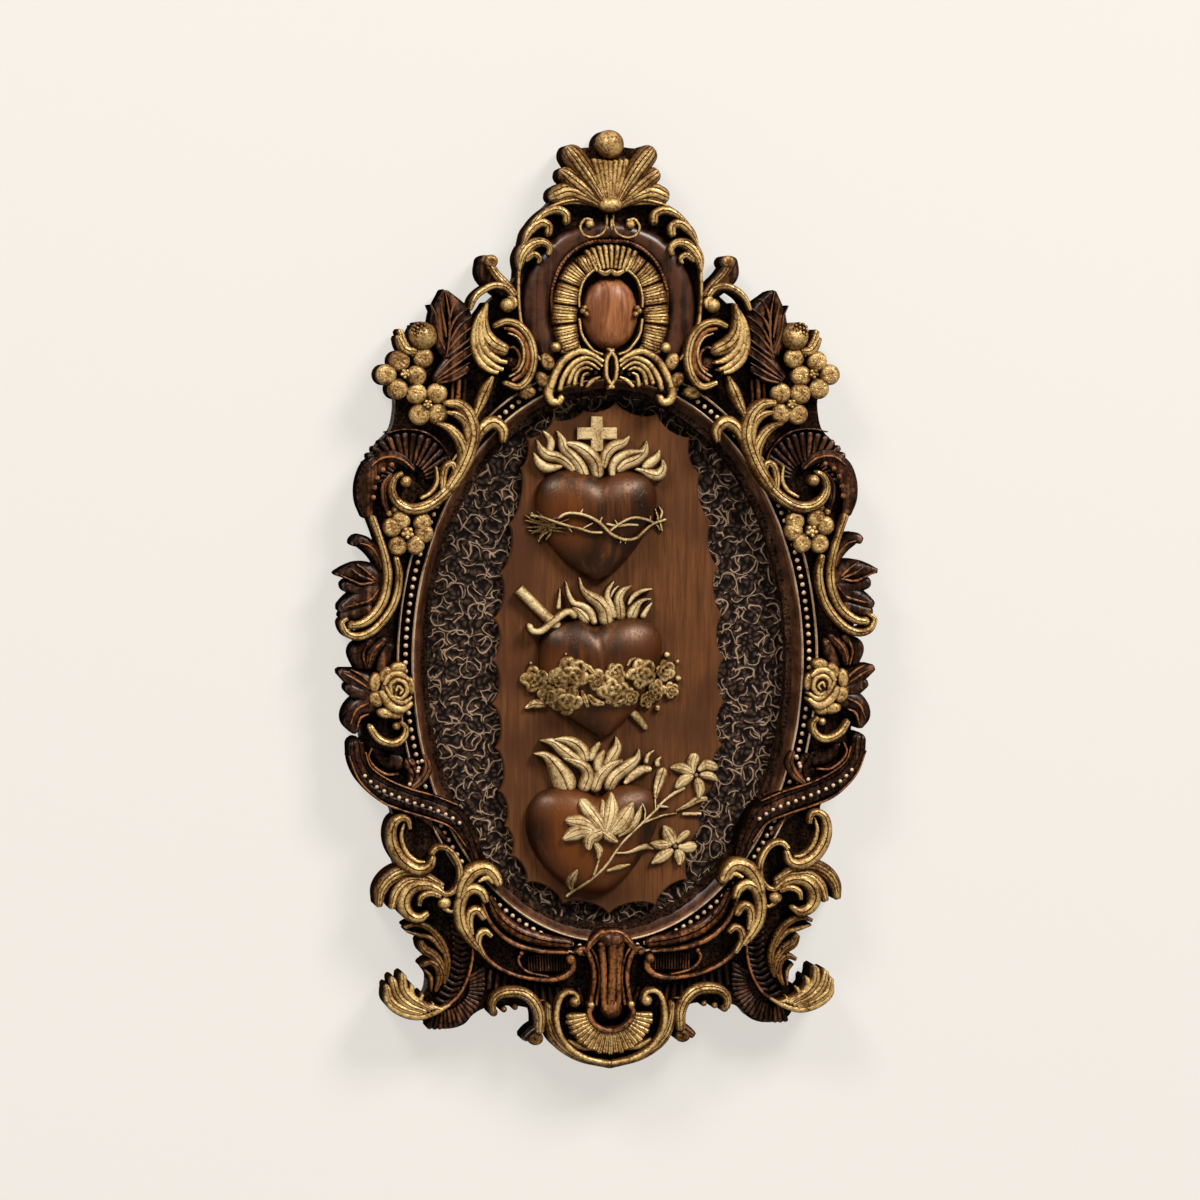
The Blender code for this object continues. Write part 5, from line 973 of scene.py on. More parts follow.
# %% The lower corners
lower_gold, lower_wood, lower_copper = Carving(), Carving(), Carving()
G, W, C = lower_gold, lower_wood, lower_copper
band(G, [(410, 824), (408, 815), (401, 813), (394, 819), (392, 832), (396, 846), (405, 858), (418, 865),
         (429, 862), (433, 852)], (1.6, 3, 4, 4.8, 5.6, 5.8, 6, 5.6, 4.4, 2.4), 0.0362, cuts=1, depth=0.2)
band(G, [(404, 818), (401, 832), (406, 847), (416, 856), (424, 857)], (1, 2, 2.4, 2.2, 1.2), 0.0335)
band(G, [(431, 849), (437, 843), (446, 844), (454, 852), (459, 865), (458, 879), (451, 888), (443, 890)],
     (2.6, 3, 3, 3, 3, 2.8, 2.6, 2.4), 0.0352, cuts=1, depth=0.26)
band(G, [(442, 881), (424, 872), (406, 867), (390, 874), (381, 886), (379, 900)],
     (2, 5, 6.5, 7, 6, 3), 0.0315, cuts=3, depth=0.2, bright=0.88)
band(G, [(442, 884), (424, 877), (408, 877), (397, 887), (392, 902)], (2, 4.4, 5.4, 5.4, 3), 0.0332,
     cuts=2, depth=0.2, bright=0.92)
band(G, [(444, 889), (430, 881), (416, 881), (407, 888), (404, 899), (409, 909), (419, 913), (427, 908)],
     (2, 4.4, 5.8, 6.6, 6.8, 6, 4.4, 2.4), 0.0362, cuts=1, depth=0.18)
band(G, [(440, 891), (430, 888), (421, 892), (419, 900)], (2, 3.2, 3.2, 1.5), 0.0370, cuts=1)
boss(G, (444, 898), (6.8, 6.2), 0.0366, around=26, rings=9)
band(G, [(442, 903), (450, 907), (454, 903)], (2, 2.4, 0.8), 0.0330)
for line, half, top, cuts in (
        ([(405, 922), (416, 919), (429, 924), (440, 937), (446, 953), (446, 968), (443, 979)],
         (1.5, 3, 3.4, 3.6, 3.4, 3, 1), 0.0325, 1),
        ([(406, 926), (418, 930), (431, 934), (442, 948)], (1, 2.2, 2.6, 1.4), 0.0318, 0),
        ([(420, 937), (424, 945), (433, 951), (441, 962), (444, 976)], (2.5, 5, 5, 3.8, 1), 0.0322, 2),
        ([(421, 961), (429, 957.5), (437, 963), (439, 974), (434, 987)], (1.6, 3.4, 4, 3.6, 1), 0.0320, 1),
        ([(424, 965), (430, 973), (430, 987)], (1, 2.2, 0.6), 0.0312, 0)):
    band(G, line, half, top, cuts=cuts, depth=0.2, bright=0.6)
for k in range(15):
    share = k / 14
    row = 912 + 84 * share
    middle = 456 + 5 * math.sin(math.pi * share) - 14 * share**3
    band(W, [(middle - 8, row - 2), (middle, row + 2.4), (middle + 9, row + 1)], 2.5, 0.0262, edge=0.1,
         bright=0.6)
band(C, [(464, 908), (470, 930), (471, 952), (466, 974), (456, 992), (441, 1003), (420, 1008),
         (400, 1006)], (0.9, 1.2, 1.4, 1.5, 1.6, 1.2), 0.0318)
for k in range(19):
    share = k / 18
    turn = math.radians(100 - 118 * share)
    inner = (438 + 30 * math.cos(turn), 982 + 26 * math.sin(turn))
    outer = (436 + 46 * math.cos(turn), 980 + 44 * math.sin(turn))
    band(W, [inner, outer], (1.6, 2.6), 0.0255, edge=0.1)
for line, half, top in (
        ([(386, 986), (388, 997), (401, 1007), (418, 1011), (435, 1006.5), (449, 999)],
         (1.6, 3, 3.4, 3.4, 2.6, 1.4), 0.0345),
        ([(387.5, 981), (391, 994), (403, 1003), (421, 1008)], (2.6, 4.4, 4.2, 2), 0.0352),
        ([(393, 974), (397, 988), (408, 999), (426, 1006)], (3, 4.8, 4.4, 2), 0.0358),
        ([(403, 970.5), (404, 983), (413, 994), (430, 1004)], (3, 5, 4.4, 2), 0.0363),
        ([(411.5, 980), (411.5, 989), (419, 997), (433, 1003)], (2, 3.8, 3.6, 1.5), 0.0356),
        ([(422, 989), (420, 995), (427, 1000), (439, 1003)], (1.4, 2.8, 2.6, 1), 0.0348),
        ([(432, 998), (433, 1001), (441, 1003)], (1, 1.6, 0.8), 0.0340)):
    band(G, line, half, top, cuts=1 if max(half) > 4.2 else 0, depth=0.16)
band(G, [(498, 880), (494, 871), (485, 864), (473, 867), (464, 878), (459, 893)],
     (3.6, 5.6, 7, 7.4, 6.6, 3), 0.0382, cuts=1, depth=0.12)
band(G, [(492, 878), (486, 873), (477, 877)], (2.4, 3, 1), 0.0365)
band(G, [(485, 897), (481, 888), (472, 884), (463, 890), (459, 904), (461, 920), (468, 933), (477, 944)],
     (3, 4.8, 5.8, 6, 5.8, 5.4, 4.6, 2), 0.0376, cuts=1, depth=0.14)
band(G, [(483, 914), (477, 906), (470, 908), (468, 918), (471, 930)], (2.8, 4.6, 4.6, 4, 1.6), 0.0362,
     cuts=1, depth=0.16)
band(G, [(490, 932), (484, 927), (478, 931), (477, 941), (484, 953)], (2, 3.6, 3.8, 3.4, 1.4), 0.0350,
     cuts=1)
band(C, [(478, 944), (488, 957), (503, 967), (522, 974), (545, 977), (560, 975), (570, 968), (571, 959)],
     (2.4, 2.2, 2, 1.8, 2, 2.4, 3.4, 3), 0.0325, bright=0.95)
boss(C, (569, 957), 5, 0.0345, base=0.022)
band(C, [(481, 899), (486, 914), (497, 929), (514, 941), (538, 948), (566, 950)],
     (1.4, 2.2, 2.4, 2.2, 1.4), 0.0322, base=0.022)
band(C, [(487, 894), (497, 913), (516, 929), (541, 938), (567, 942)], (4, 6.5, 7.5, 7, 5), 0.0292,
     base=0.022, cuts=1, depth=0.25, bright=0.85)
band(C, [(519, 951), (516, 957), (521, 966), (531, 971), (546, 974)], (1.6, 1.4, 1.4, 1.2, 0.8), 0.0290)
boss(C, (519.5, 950), 2.8, 0.0300)
for k in range(16):
    column = 526 + 2.8 * k
    band(W, [(column, 953 - 0.1 * k), (column + 0.5, 969)], (1.0, 1.1), 0.0256, edge=0.1)
for k in range(15):
    share = k / 14
    column = 474 + 102 * share
    drop = 962 + 26 * math.sin(math.pi * 0.5 * share)
    band(W, [(column, drop), (column - 3 + 8 * share, drop + 18)], (2.2, 2.8), 0.0248, edge=0.1)
boss(C, (539, 998), (4, 1.4), 0.0285)
gold_lower = lower_gold.make("gold_lower", OLD_GOLD)

# %% The foot: console and shell
G, W, C = Carving(), lower_wood, lower_copper
for across, half, top in ((0, 5.4, 0.0372), (-9.5, 3.6, 0.0362)):
    band(C, [(611 + across * 1.25, 942), (611 + across, 968), (609 + across * 0.8, 996),
             (609 + across * 0.6, 1008)], (half, half * 0.9, half * 0.85, half * 0.8), top,
         edge=0.35, sides=LEFT if across == 0 else BOTH)
boss(C, (611, 937), (13, 8.5), 0.0384, base=0.024, sides=LEFT, around=40, rings=12)
band(C, [(611, 930), (599, 932), (589, 941), (583, 950)], (3, 4.2, 3.6, 1.5), 0.0345, cuts=1)
boss(C, (610, 1006), (11, 12), 0.0372, base=0.024, sides=LEFT, around=40, rings=12)
band(C, [(588, 1003), (592, 975), (588, 955), (581, 946), (574, 949)], (2.4, 2.2, 2.4, 2.6, 1.8), 0.0340,
     bright=0.85)
band(C, [(594, 1003), (597, 976), (594, 956), (587, 944)], (1.8, 1.6, 1.4, 1), 0.0330, bright=0.8)
boss(C, (578, 950), 3.4, 0.0345)
for k in range(23):
    turn = math.radians(186 + 168 * k / 22)
    size = 1.0 + 0.10 * (k % 2)
    inner = (608 + 21 * math.cos(turn), 1010 - 20 * math.sin(turn))
    outer = (608 + 41 * size**0.3 * math.cos(turn), 1010 - 40 * size**0.3 * math.sin(turn))
    band(G, [inner, outer], (1.6, 3.1), 0.0345, base=0.022, sides=LEFT, edge=0.2, cuts=1, depth=0.12)
band(C, [(590, 1002), (587, 1011), (592, 1021), (601, 1027), (610, 1028)], (2.6, 2.8, 2.8, 2.8), 0.0366)
boss(G, (589, 1002), 3.4, 0.0372)
band(G, [(576, 1001), (574, 992), (566, 989), (559, 994), (555, 1006), (555, 1021), (560, 1035),
         (571, 1048), (588, 1057), (608, 1061)], (2, 2.6, 2.8, 2.8, 2.6, 2.4, 2.4), 0.0352)
boss(G, (573, 999), 5.6, 0.0362, around=24, rings=8)
band(G, [(546, 1003), (547, 1018), (553, 1034), (565, 1047), (582, 1057), (608, 1064)],
     (3, 6, 6.6, 5, 3.6, 3), 0.0318, cuts=3, depth=0.2, bright=0.9)
band(G, [(566, 1038), (577, 1045), (590, 1048)], (1, 3.4, 1), 0.0300, bright=0.9)
band(G, [(492, 1008), (491, 999), (497, 991), (509, 988), (522, 990), (532, 998), (538, 1011),
         (538, 1028)], (2.4, 4, 5, 5.6, 5.6, 5.6, 5, 4), 0.0345, cuts=2, depth=0.26, bright=0.92)
for spot, radius in (((492, 1009), 4.2), ((502, 1006), 3.2), ((513, 1004), 3.0)):
    boss(G, spot, radius, 0.0300, pits=0.2, bright=0.7)
band(W, [(536, 1026), (528, 1032), (523, 1036)], (4, 5, 3), 0.0290, cuts=1)
boss(G, (534, 1036), (8, 7), 0.0310, pits=0.2, dimple=0.2, bright=0.8)
gold_foot = G.make("gold_foot", OLD_GOLD)
copper_lower = lower_copper.make("copper_lower", COPPER)
walnut_lower = lower_wood.make("walnut_lower", WALNUT)
walnut_sides = side_wood.make("walnut_sides", WALNUT)
copper_sides = side_copper.make("copper_sides", COPPER)

# %% [markdown]
# The ground behind the board is pebbled all over, and fine curved ridges cross it: broken
# arcs, laid over each other. A Geometry Nodes tree raises them on the panel and keeps the
# height of each point. The colour traces the same arcs again: near black in the pits, tan on
# the ridges.

# %% The crackled ground
RIDGE_HEIGHT, RIDGE_SPREAD, PIT_SPREAD = 0.0008, 78.0, 290.0


def crackle(tree, where, spread, pits):
    """Arcs round scattered points, broken and laid over each other, with pebbles between them."""
    parts = node(tree, "ShaderNodeSeparateXYZ", {0: where})
    flat = node(tree, "ShaderNodeCombineXYZ", {"X": parts.outputs["X"], "Y": parts.outputs["Z"]}).outputs[0]
    bend = node(tree, "ShaderNodeTexNoise", {"Vector": flat, "Scale": 130.0, "Detail": 0.0}).outputs["Color"]
    bend = vectors(tree, "SUBTRACT", bend, (0.5, 0.5, 0.5))
    bend = node(tree, "ShaderNodeVectorMath", {0: bend, "Scale": 0.006}, operation="SCALE").outputs[0]
    bent = vectors(tree, "ADD", flat, bend)

    def cells(scale, offset):
        spot = vectors(tree, "ADD", bent, (offset, offset, 0.0))
        return node(tree, "ShaderNodeTexVoronoi", {"Vector": spot, "Scale": scale},
                    voronoi_dimensions="2D").outputs["Distance"]

    def arcs(offset, radius, low, high):
        away = sums(tree, "ABSOLUTE", sums(tree, "SUBTRACT", cells(spread, offset), radius), 0.0)
        gaps = node(tree, "ShaderNodeTexNoise", {"Vector": vectors(tree, "ADD", flat, (offset, 0.0, 0.0)),
                                                 "Scale": 110.0, "Detail": 0.0}).outputs["Fac"]
        return sums(tree, "MULTIPLY", ramp(tree, away, 0.0, 0.072, 1.0, 0.0), ramp(tree, gaps, low, high))

    level = sums(tree, "MAXIMUM", arcs(0.0, 0.46, 0.38, 0.46), arcs(3.7, 0.40, 0.44, 0.52))
    level = sums(tree, "MAXIMUM", level, arcs(8.1, 0.50, 0.50, 0.58))
    small = ramp(tree, cells(pits, 1.3), 0.10, 0.62, 0.46, 0.0)
    return sums(tree, "MAXIMUM", level, small)


def ground_tree():
    tree, sockets, given, out = mesh_tree("Crackled ground", (
        ("Ridge Height", RIDGE_HEIGHT), ("Ridge Spread", RIDGE_SPREAD), ("Pit Spread", PIT_SPREAD)))
    where = node(tree, "GeometryNodeInputPosition").outputs[0]
    level = crackle(tree, where, given.outputs["Ridge Spread"], given.outputs["Pit Spread"])
    rise = sums(tree, "MULTIPLY", level, given.outputs["Ridge Height"])
    shift = node(tree, "ShaderNodeCombineXYZ", {"Y": sums(tree, "MULTIPLY", rise, -1.0)})
    moved = node(tree, "GeometryNodeSetPosition", {"Geometry": given.outputs["Geometry"],
                                                   "Offset": shift.outputs[0]})
    close_tree(tree, given, out, moved.outputs[0], level)
    return tree, sockets


def ground_material():
    """The same arcs again, sharper than the mesh can hold, and left off the panel's back."""
    material, tree, shader = blank_material("crackled_black")
    where = object_place(tree)
    level = crackle(tree, where, RIDGE_SPREAD, PIT_SPREAD)
    depth = node(tree, "ShaderNodeSeparateXYZ", {0: where}).outputs["Y"]
    level = sums(tree, "MULTIPLY", level, ramp(tree, depth, -0.0050, -0.0030, 1.0, 0.0))
    tree.links.new(tones(tree, level, (0.14, (0.005, 0.0025, 0.0018)), (0.50, (0.075, 0.042, 0.027)),
                         (0.90, (0.44, 0.30, 0.19))), shader.inputs["Base Color"])
    shader.inputs["Specular IOR Level"].default_value = 0.12
    shader.inputs["Roughness"].default_value = 0.5
    set_bump(tree, shader, level, 0.0006, 0.8)
    return material


GROUND_TREE, GROUND_SOCKETS = ground_tree()
CRACKLED = ground_material()
PANEL_LEVEL, PANEL_LAP = 0.0074, 0.0036  # its face between the ridges, and its lap behind the opening


def panel_mesh():
    """A round net, closed behind, whose visible outer part is fine."""
    shares = np.concatenate([np.linspace(0.03, 0.50, 8, endpoint=False), np.linspace(0.50, 1.0, 84)])
    angle = 2 * math.pi * np.arange(820) / 820
    x = (OVAL_X + PANEL_LAP) * np.cos(angle) * shares[:, None]
    z = (OVAL_Z + PANEL_LAP) * np.sin(angle) * shares[:, None] + OVAL_MIDDLE
    rows, columns = x.shape
    front = np.stack([x, np.full_like(x, -PANEL_LEVEL), z], -1).reshape(-1, 3)
    back = front[-columns:].copy()
    back[:, 1] = -0.0004
    number = np.arange(rows * columns).reshape(rows, columns)
    rim = list(range(rows * columns, rows * columns + columns))
    quads = ring_faces(number).tolist() + ring_quads(number[-1].tolist(), rim)
    mesh = bpy.data.meshes.new("crackled_ground")
    mesh.from_pydata(np.vstack([front, back]).tolist(), [], quads + [number[0].tolist(), rim])
    face_outward(mesh)
    return mesh


ground_mesh = baked("crackled_ground", panel_mesh(), GROUND_TREE, GROUND_SOCKETS, Ridge_Height=RIDGE_HEIGHT,
                    Ridge_Spread=RIDGE_SPREAD, Pit_Spread=PIT_SPREAD, Finish=CRACKLED)
crackled_ground = place("crackled_ground", ground_mesh, CRACKLED, 70)

# %% [markdown]
# The board is a flat plate with hollow scallops between sharp cusps. Its grain runs
# upright. The hearts are turned out of redder wood and polished until they shine.

# %% Polished and plain wood
def wood(name, dark, middle, light, roughness, coat, across, along, warm=None, rim=None):
    """Upright grain in three tones, with broad warm patches, and painted shade that darkens the low rim
    where given.
    """
    material, tree, shader = blank_material(name)
    grain = node(tree, "ShaderNodeGroup", {}, node_tree=GRAIN)
    grain.inputs["Across"].default_value, grain.inputs["Along"].default_value = across, along
    streak = sums(tree, "ADD", sums(tree, "MULTIPLY", grain.outputs["Streak"], 0.6),
                  sums(tree, "MULTIPLY", grain.outputs["Figure"], 0.4))
    colour = mixed(tree, sums(tree, "MULTIPLY", grain.outputs["Pores"], 0.55),
                   tones(tree, streak, (0.34, dark), (0.5, middle), (0.66, light)), (*dark, 1))
    where = object_place(tree)
    if warm:
        patch = node(tree, "ShaderNodeTexNoise", {"Vector": where, "Scale": 24.0, "Detail": 1.0})
        colour = mixed(tree, ramp(tree, patch.outputs["Fac"], 0.42, 0.66, 0.0, 0.8), colour, (*warm, 1))
    # Painted shade: the low edge of each heart is darkened.
    if rim:
        depth = node(tree, "ShaderNodeSeparateXYZ", {0: where}).outputs["Y"]
        colour = mixed(tree, ramp(tree, depth, -rim[0], -rim[1], 0.8, 0.0), colour, (*dark, 1))
    tree.links.new(colour, shader.inputs["Base Color"])
    tree.links.new(ramp(tree, grain.outputs["Streak"], 0.3, 0.7, roughness + 0.08, roughness - 0.04),
                   shader.inputs["Roughness"])
    shader.inputs["Specular IOR Level"].default_value = 0.18
    shader.inputs["Coat Weight"].default_value = coat
    shader.inputs["Coat Roughness"].default_value = 0.3
    set_bump(tree, shader, sums(tree, "SUBTRACT", 1.0, grain.outputs["Pores"]), 0.0002, 0.5)
    return material


BOARD_WOOD = wood("board_walnut", (0.064, 0.022, 0.0075), (0.128, 0.046, 0.015), (0.185, 0.070, 0.024),
                  0.5, 0.0, across=430.0, along=26.0, warm=(0.060, 0.021, 0.0085))
# Its rim darkening is painted shade at the low edge of each heart dome.
MAHOGANY = wood("polished_mahogany", (0.005, 0.0014, 0.0005), (0.029, 0.0074, 0.0018),
                (0.150, 0.047, 0.0110), 0.36, 0.0, across=190.0, along=16.0, warm=(0.17, 0.045, 0.007),
                rim=(0.0165, 0.0290))
for made, level in ((MAHOGANY, 0.55), (BOARD_WOOD, 0.3)):
    polish = made.node_tree.nodes["Principled BSDF"].inputs
    polish["Specular IOR Level"].default_value = level
    polish["Specular Tint"].default_value = (1.0, 0.70, 0.52, 1)
CABOCHON_WOOD = wood("cabochon_wood", (0.10, 0.030, 0.011), (0.23, 0.078, 0.029), (0.42, 0.165, 0.062),
                     0.38, 0.15, across=330.0, along=40.0)
crest_cabochon = cabochon.make("crest_cabochon", CABOCHON_WOOD)

# %% The scalloped board
CUSPS = [(613, 402), (581, 410), (550, 419), (524, 438), (518, 468), (507, 524), (497.5, 573), (492, 618),
         (490.5, 659), (490.5, 703), (493.5, 747), (496.5, 790), (502.5, 825), (509, 855), (524, 882),
         (560, 904), (606, 915), (653, 907), (685, 882), (698, 830), (713, 786), (720, 747), (722, 703),
         (722, 659), (720, 615), (716, 568), (709, 522), (698, 474), (688, 437), (655, 414)]


def scalloped(cusps):
    """The board's outline: a shallow hollow between each cusp and the next."""
    cusps = plan(cusps, BOARD_FRONT)
    points = []
    for start, end in zip(cusps, np.roll(cusps, -1, axis=0)):
        run = end - start
        length = np.linalg.norm(run)
        depth = min(7.0 * SQUARE, 0.17 * length)
        inward = np.array([-run[1], run[0]]) / length
        away = (start + end) / 2 - np.array([0, OVAL_MIDDLE])
        inward *= -1 if inward @ away > 0 else 1
        shares = np.linspace(0, 1, 9, endpoint=False)[:, None]
        points.append(start + run * shares + inward * depth * np.sqrt(np.clip(
            4 * shares * (1 - shares), 0, 1)) ** 1.5)
    return np.vstack(points)


def eased_plate(name, outline, back, front, ease, material):
    """A plate whose front edge is rounded over."""
    mesh = bpy.data.meshes.new(name)
    edit = bmesh.new()
    low = [edit.verts.new((x, -back, z)) for x, z in outline]
    made = bmesh.ops.extrude_face_region(edit, geom=[edit.faces.new(low)])
    upper = [v for v in made["geom"] if isinstance(v, bmesh.types.BMVert)]
    bmesh.ops.translate(edit, vec=(0, back - front, 0), verts=upper)
    rim = [e for e in edit.edges if all(abs(v.co.y + front) < 1e-7 for v in e.verts)]
    bmesh.ops.bevel(edit, geom=rim, offset=ease, segments=3, affect="EDGES", clamp_overlap=True)
    bmesh.ops.recalc_face_normals(edit, faces=edit.faces)
    edit.to_mesh(mesh)
    edit.free()
    set_crest(mesh, np.full(len(mesh.vertices), 0.95))
    return place(name, mesh, material, 30)


scalloped_plate = eased_plate("scalloped_plate", scalloped(CUSPS), 0.0087, BOARD_FRONT, 0.0007, BOARD_WOOD)
cross_at = plan([(593.6, 434)], BOARD_FRONT)[0]
ARM, WIDE, TALL, SET = 0.0038, 0.0128, 0.0112, 0.0004  # half width, reaches, and how high the arms sit
cross_outline = cross_at + np.array([
    (-ARM, TALL), (-ARM, ARM + SET), (-WIDE, ARM + SET), (-WIDE, SET - ARM), (-ARM, SET - ARM),
    (-ARM, -TALL), (ARM, -TALL), (ARM, SET - ARM), (WIDE, SET - ARM), (WIDE, ARM + SET),
    (ARM, ARM + SET), (ARM, TALL)])
gilt_cross = eased_plate("gilt_cross", cross_outline, BOARD_FRONT - 0.0002, 0.0184, 0.0006, PALE_GILT)

# %% The three hearts
HEARTS = {
    "upper": [(600, 477), (582, 471), (560, 470), (541, 480), (534, 500), (540, 527), (555, 552),
              (575, 570), (597, 581), (619, 566), (639, 541), (652, 518), (655, 494), (646, 477),
              (628, 471), (612, 472)],
    "middle": [(595, 626), (580, 620), (560, 620), (543, 630), (537, 652), (542, 682), (556, 707),
               (578, 725), (603, 737), (625, 719), (644, 696), (657, 668), (660, 642), (652, 625),
               (632, 617), (610, 619)],
    "lower": [(597, 797), (580, 789), (556, 786), (535, 794), (525, 815), (528, 842), (545, 868),
              (570, 886), (598, 894), (622, 880), (643, 852), (655, 826), (657, 803), (647, 789),
              (628, 784), (610, 788)]}


EDGE_HEIGHT, DOME_HEIGHT, DOME_POWER, DOME_FULLNESS = 0.0030, 0.0138, 2.5, 0.60


class Heart:
    """The outline of a heart, and how high its polished dome stands at a point."""

    def __init__(self, squares):
        ring = smooth_curve(plan(squares, BOARD_FRONT + HEART_RISE / 2), closed=True)
        self.ring, _ = evenly(np.vstack([ring, ring[:1]]), 0.0026)
        self.ring = self.ring[:-1]
        self.middle = self.ring.mean(axis=0)
        away = self.ring - self.middle
        bearing = np.arctan2(away[:, 1], away[:, 0])
        order = np.argsort(bearing)
        self.bearing, self.reach = bearing[order], np.linalg.norm(away, axis=1)[order]

    def dome(self, share):
        return EDGE_HEIGHT + DOME_HEIGHT * (1 - np.clip(share, 0, 1) ** DOME_POWER) ** DOME_FULLNESS

    def share(self, x, z):
        away_x, away_z = x - self.middle[0], z - self.middle[1]
        limit = np.interp(np.arctan2(away_z, away_x), self.bearing, self.reach, period=2 * math.pi)
        return np.hypot(away_x, away_z) / limit

    def lift(self, x, z):
        """How far a carving that lies across the heart is raised."""
        share = self.share(x, z)
        beside = EDGE_HEIGHT * np.clip(1 - (share - 1) / 0.10, 0, 1)
        return np.where(share < 1, self.dome(share), beside)

    def make(self, name):
        shares = np.append(np.cos(np.linspace(0, math.pi / 2, 26))[:-1] ** 0.9, 0.02)
        store = Carving()
        x = self.middle[0] + (self.ring[:, 0] - self.middle[0]) * shares[:, None]
        z = self.middle[1] + (self.ring[:, 1] - self.middle[1]) * shares[:, None]
        height = HEART_BACK + self.dome(shares)[:, None] + 0 * x
        foot = np.full((1, len(self.ring)), BOARD_FRONT - 0.0002)
        store.shell(np.vstack([x[:1], x]), np.vstack([foot, height]), np.vstack([z[:1], z]),
                    np.ones((len(shares) + 1, len(self.ring))))
        return store.make(name, MAHOGANY, 50)


UPPER, MIDDLE, LOWER = (Heart(squares) for squares in HEARTS.values())
heart_upper, heart_middle, heart_lower = (
    heart.make("polished_heart_" + name) for name, heart in zip(HEARTS, (UPPER, MIDDLE, LOWER)))

# %% [markdown]
# The flames are separate tongues, each a band that starts broad at the heart and whips to
# a point. They lie on the board, in pale matte gilding with brown left in the cuts and
# painted shade on their flanks.

# %% The flames
SUNK = 0.0003  # how far the applied carvings are let into the board
ON_BOARD = dict(foot=BOARD_FRONT - SUNK, sides=LEFT)
ON_HEART = dict(base=HEART_BACK, **ON_BOARD)


def tongues(name, table):
    """Flames from a table of curves, half widths, cuts and heights above the hearts' back."""
    store = Carving()
    for points, half, cuts, top in table:
        fuller = [1.28 * share for share in half[:-1]] + [1.1 * half[-1]]
        band(store, points, fuller, HEART_BACK + top, base=BOARD_FRONT, cuts=min(cuts, 1), depth=0.26,
             edge=0.25, cut_wax_and_shade=0.35, step=0.0008, **ON_BOARD)
    return store.make(name, PALE_GILT)


flames_upper = tongues("gilt_flames_upper", [
    ([(532, 453), (536, 461), (543, 467), (551, 467.5), (560, 466)], (0.4, 3.2, 4.4, 3.2, 0.8), 0, .0062),
    ([(535, 440), (539, 449), (546, 455), (556, 457.5), (565, 463), (571, 470)],
     (0.4, 3, 4.4, 4.4, 4, 2.4), 1, .0072),
    ([(541, 431), (546, 436), (549, 442), (548, 450)], (0.4, 2.5, 3.2, 2.8), 0, .0066),
    ([(555, 431), (560, 440), (563, 449), (571, 457), (578, 466), (582, 475)],
     (0.4, 3.2, 4.2, 4.6, 5, 4.6), 1, .0080),
    ([(565, 443), (575, 446), (586, 453), (594, 463), (596, 475)], (1.2, 4, 5.6, 6, 4), 1, .0084),
    ([(627, 436), (621, 443), (611, 447), (604, 455), (601, 467)], (0.4, 4, 4.4, 4, 2.4), 1, .0076),
    ([(640, 451), (626, 453), (615, 459), (610, 467), (610, 475)], (0.6, 2.6, 3.4, 3.2, 2.4), 0, .0084),
    ([(644, 441), (642, 451), (634, 459), (623, 464), (616, 470)], (0.4, 4, 5.2, 5, 3), 1, .0074),
    ([(657, 450), (654, 458), (648, 463), (641, 467)], (0.4, 3.4, 4.2, 2), 0, .0066),
    ([(660, 460), (661, 468), (656, 475), (648, 474.5), (640, 471), (633, 469)],
     (0.6, 3.2, 4.8, 4.4, 2.4, 0.8), 1, .0068)])
flames_middle = tongues("gilt_flames_middle", [
    ([(557.5, 588), (557, 597), (556.2, 607)], (0.3, 1.2, 2.2), 0, .0052),
    ([(563.5, 581), (566, 592), (571, 602), (580, 605), (588, 611), (592, 622)],
     (0.3, 1.6, 2.4, 2.6, 3, 2.6), 0, .0068),
    ([(572, 607), (578, 612), (584, 619)], (1.8, 4.4, 5), 1, .0058),
    ([(577, 577), (580, 588), (587, 595), (596, 601), (603, 610), (605, 620)],
     (0.3, 1.8, 4.2, 5.6, 6.2, 6.2), 2, .0082),
    ([(611.5, 580.5), (606, 589), (605, 597), (609, 607), (612, 616)], (0.3, 1.8, 2.4, 2.8, 2.8), 0, .0076),
    ([(616, 585), (611, 590), (608, 596)], (0.2, 1.0, 0.8), 0, .0060),
    ([(629, 585), (621, 590), (616.5, 598), (617.5, 607), (618, 616)], (0.3, 2.6, 3.6, 4.4, 4.6), 2, .0080),
    ([(650, 588.5), (640, 590.5), (631, 596), (625.5, 604)], (0.3, 1.6, 2.3, 0.7), 0, .0064),
    ([(649, 598.5), (640, 600), (634, 606), (629.5, 615)], (0.3, 1.6, 4.2, 5.4), 1, .0072),
    ([(649.5, 602), (644.5, 609), (640.5, 616)], (0.3, 2.0, 2.8), 0, .0060)])
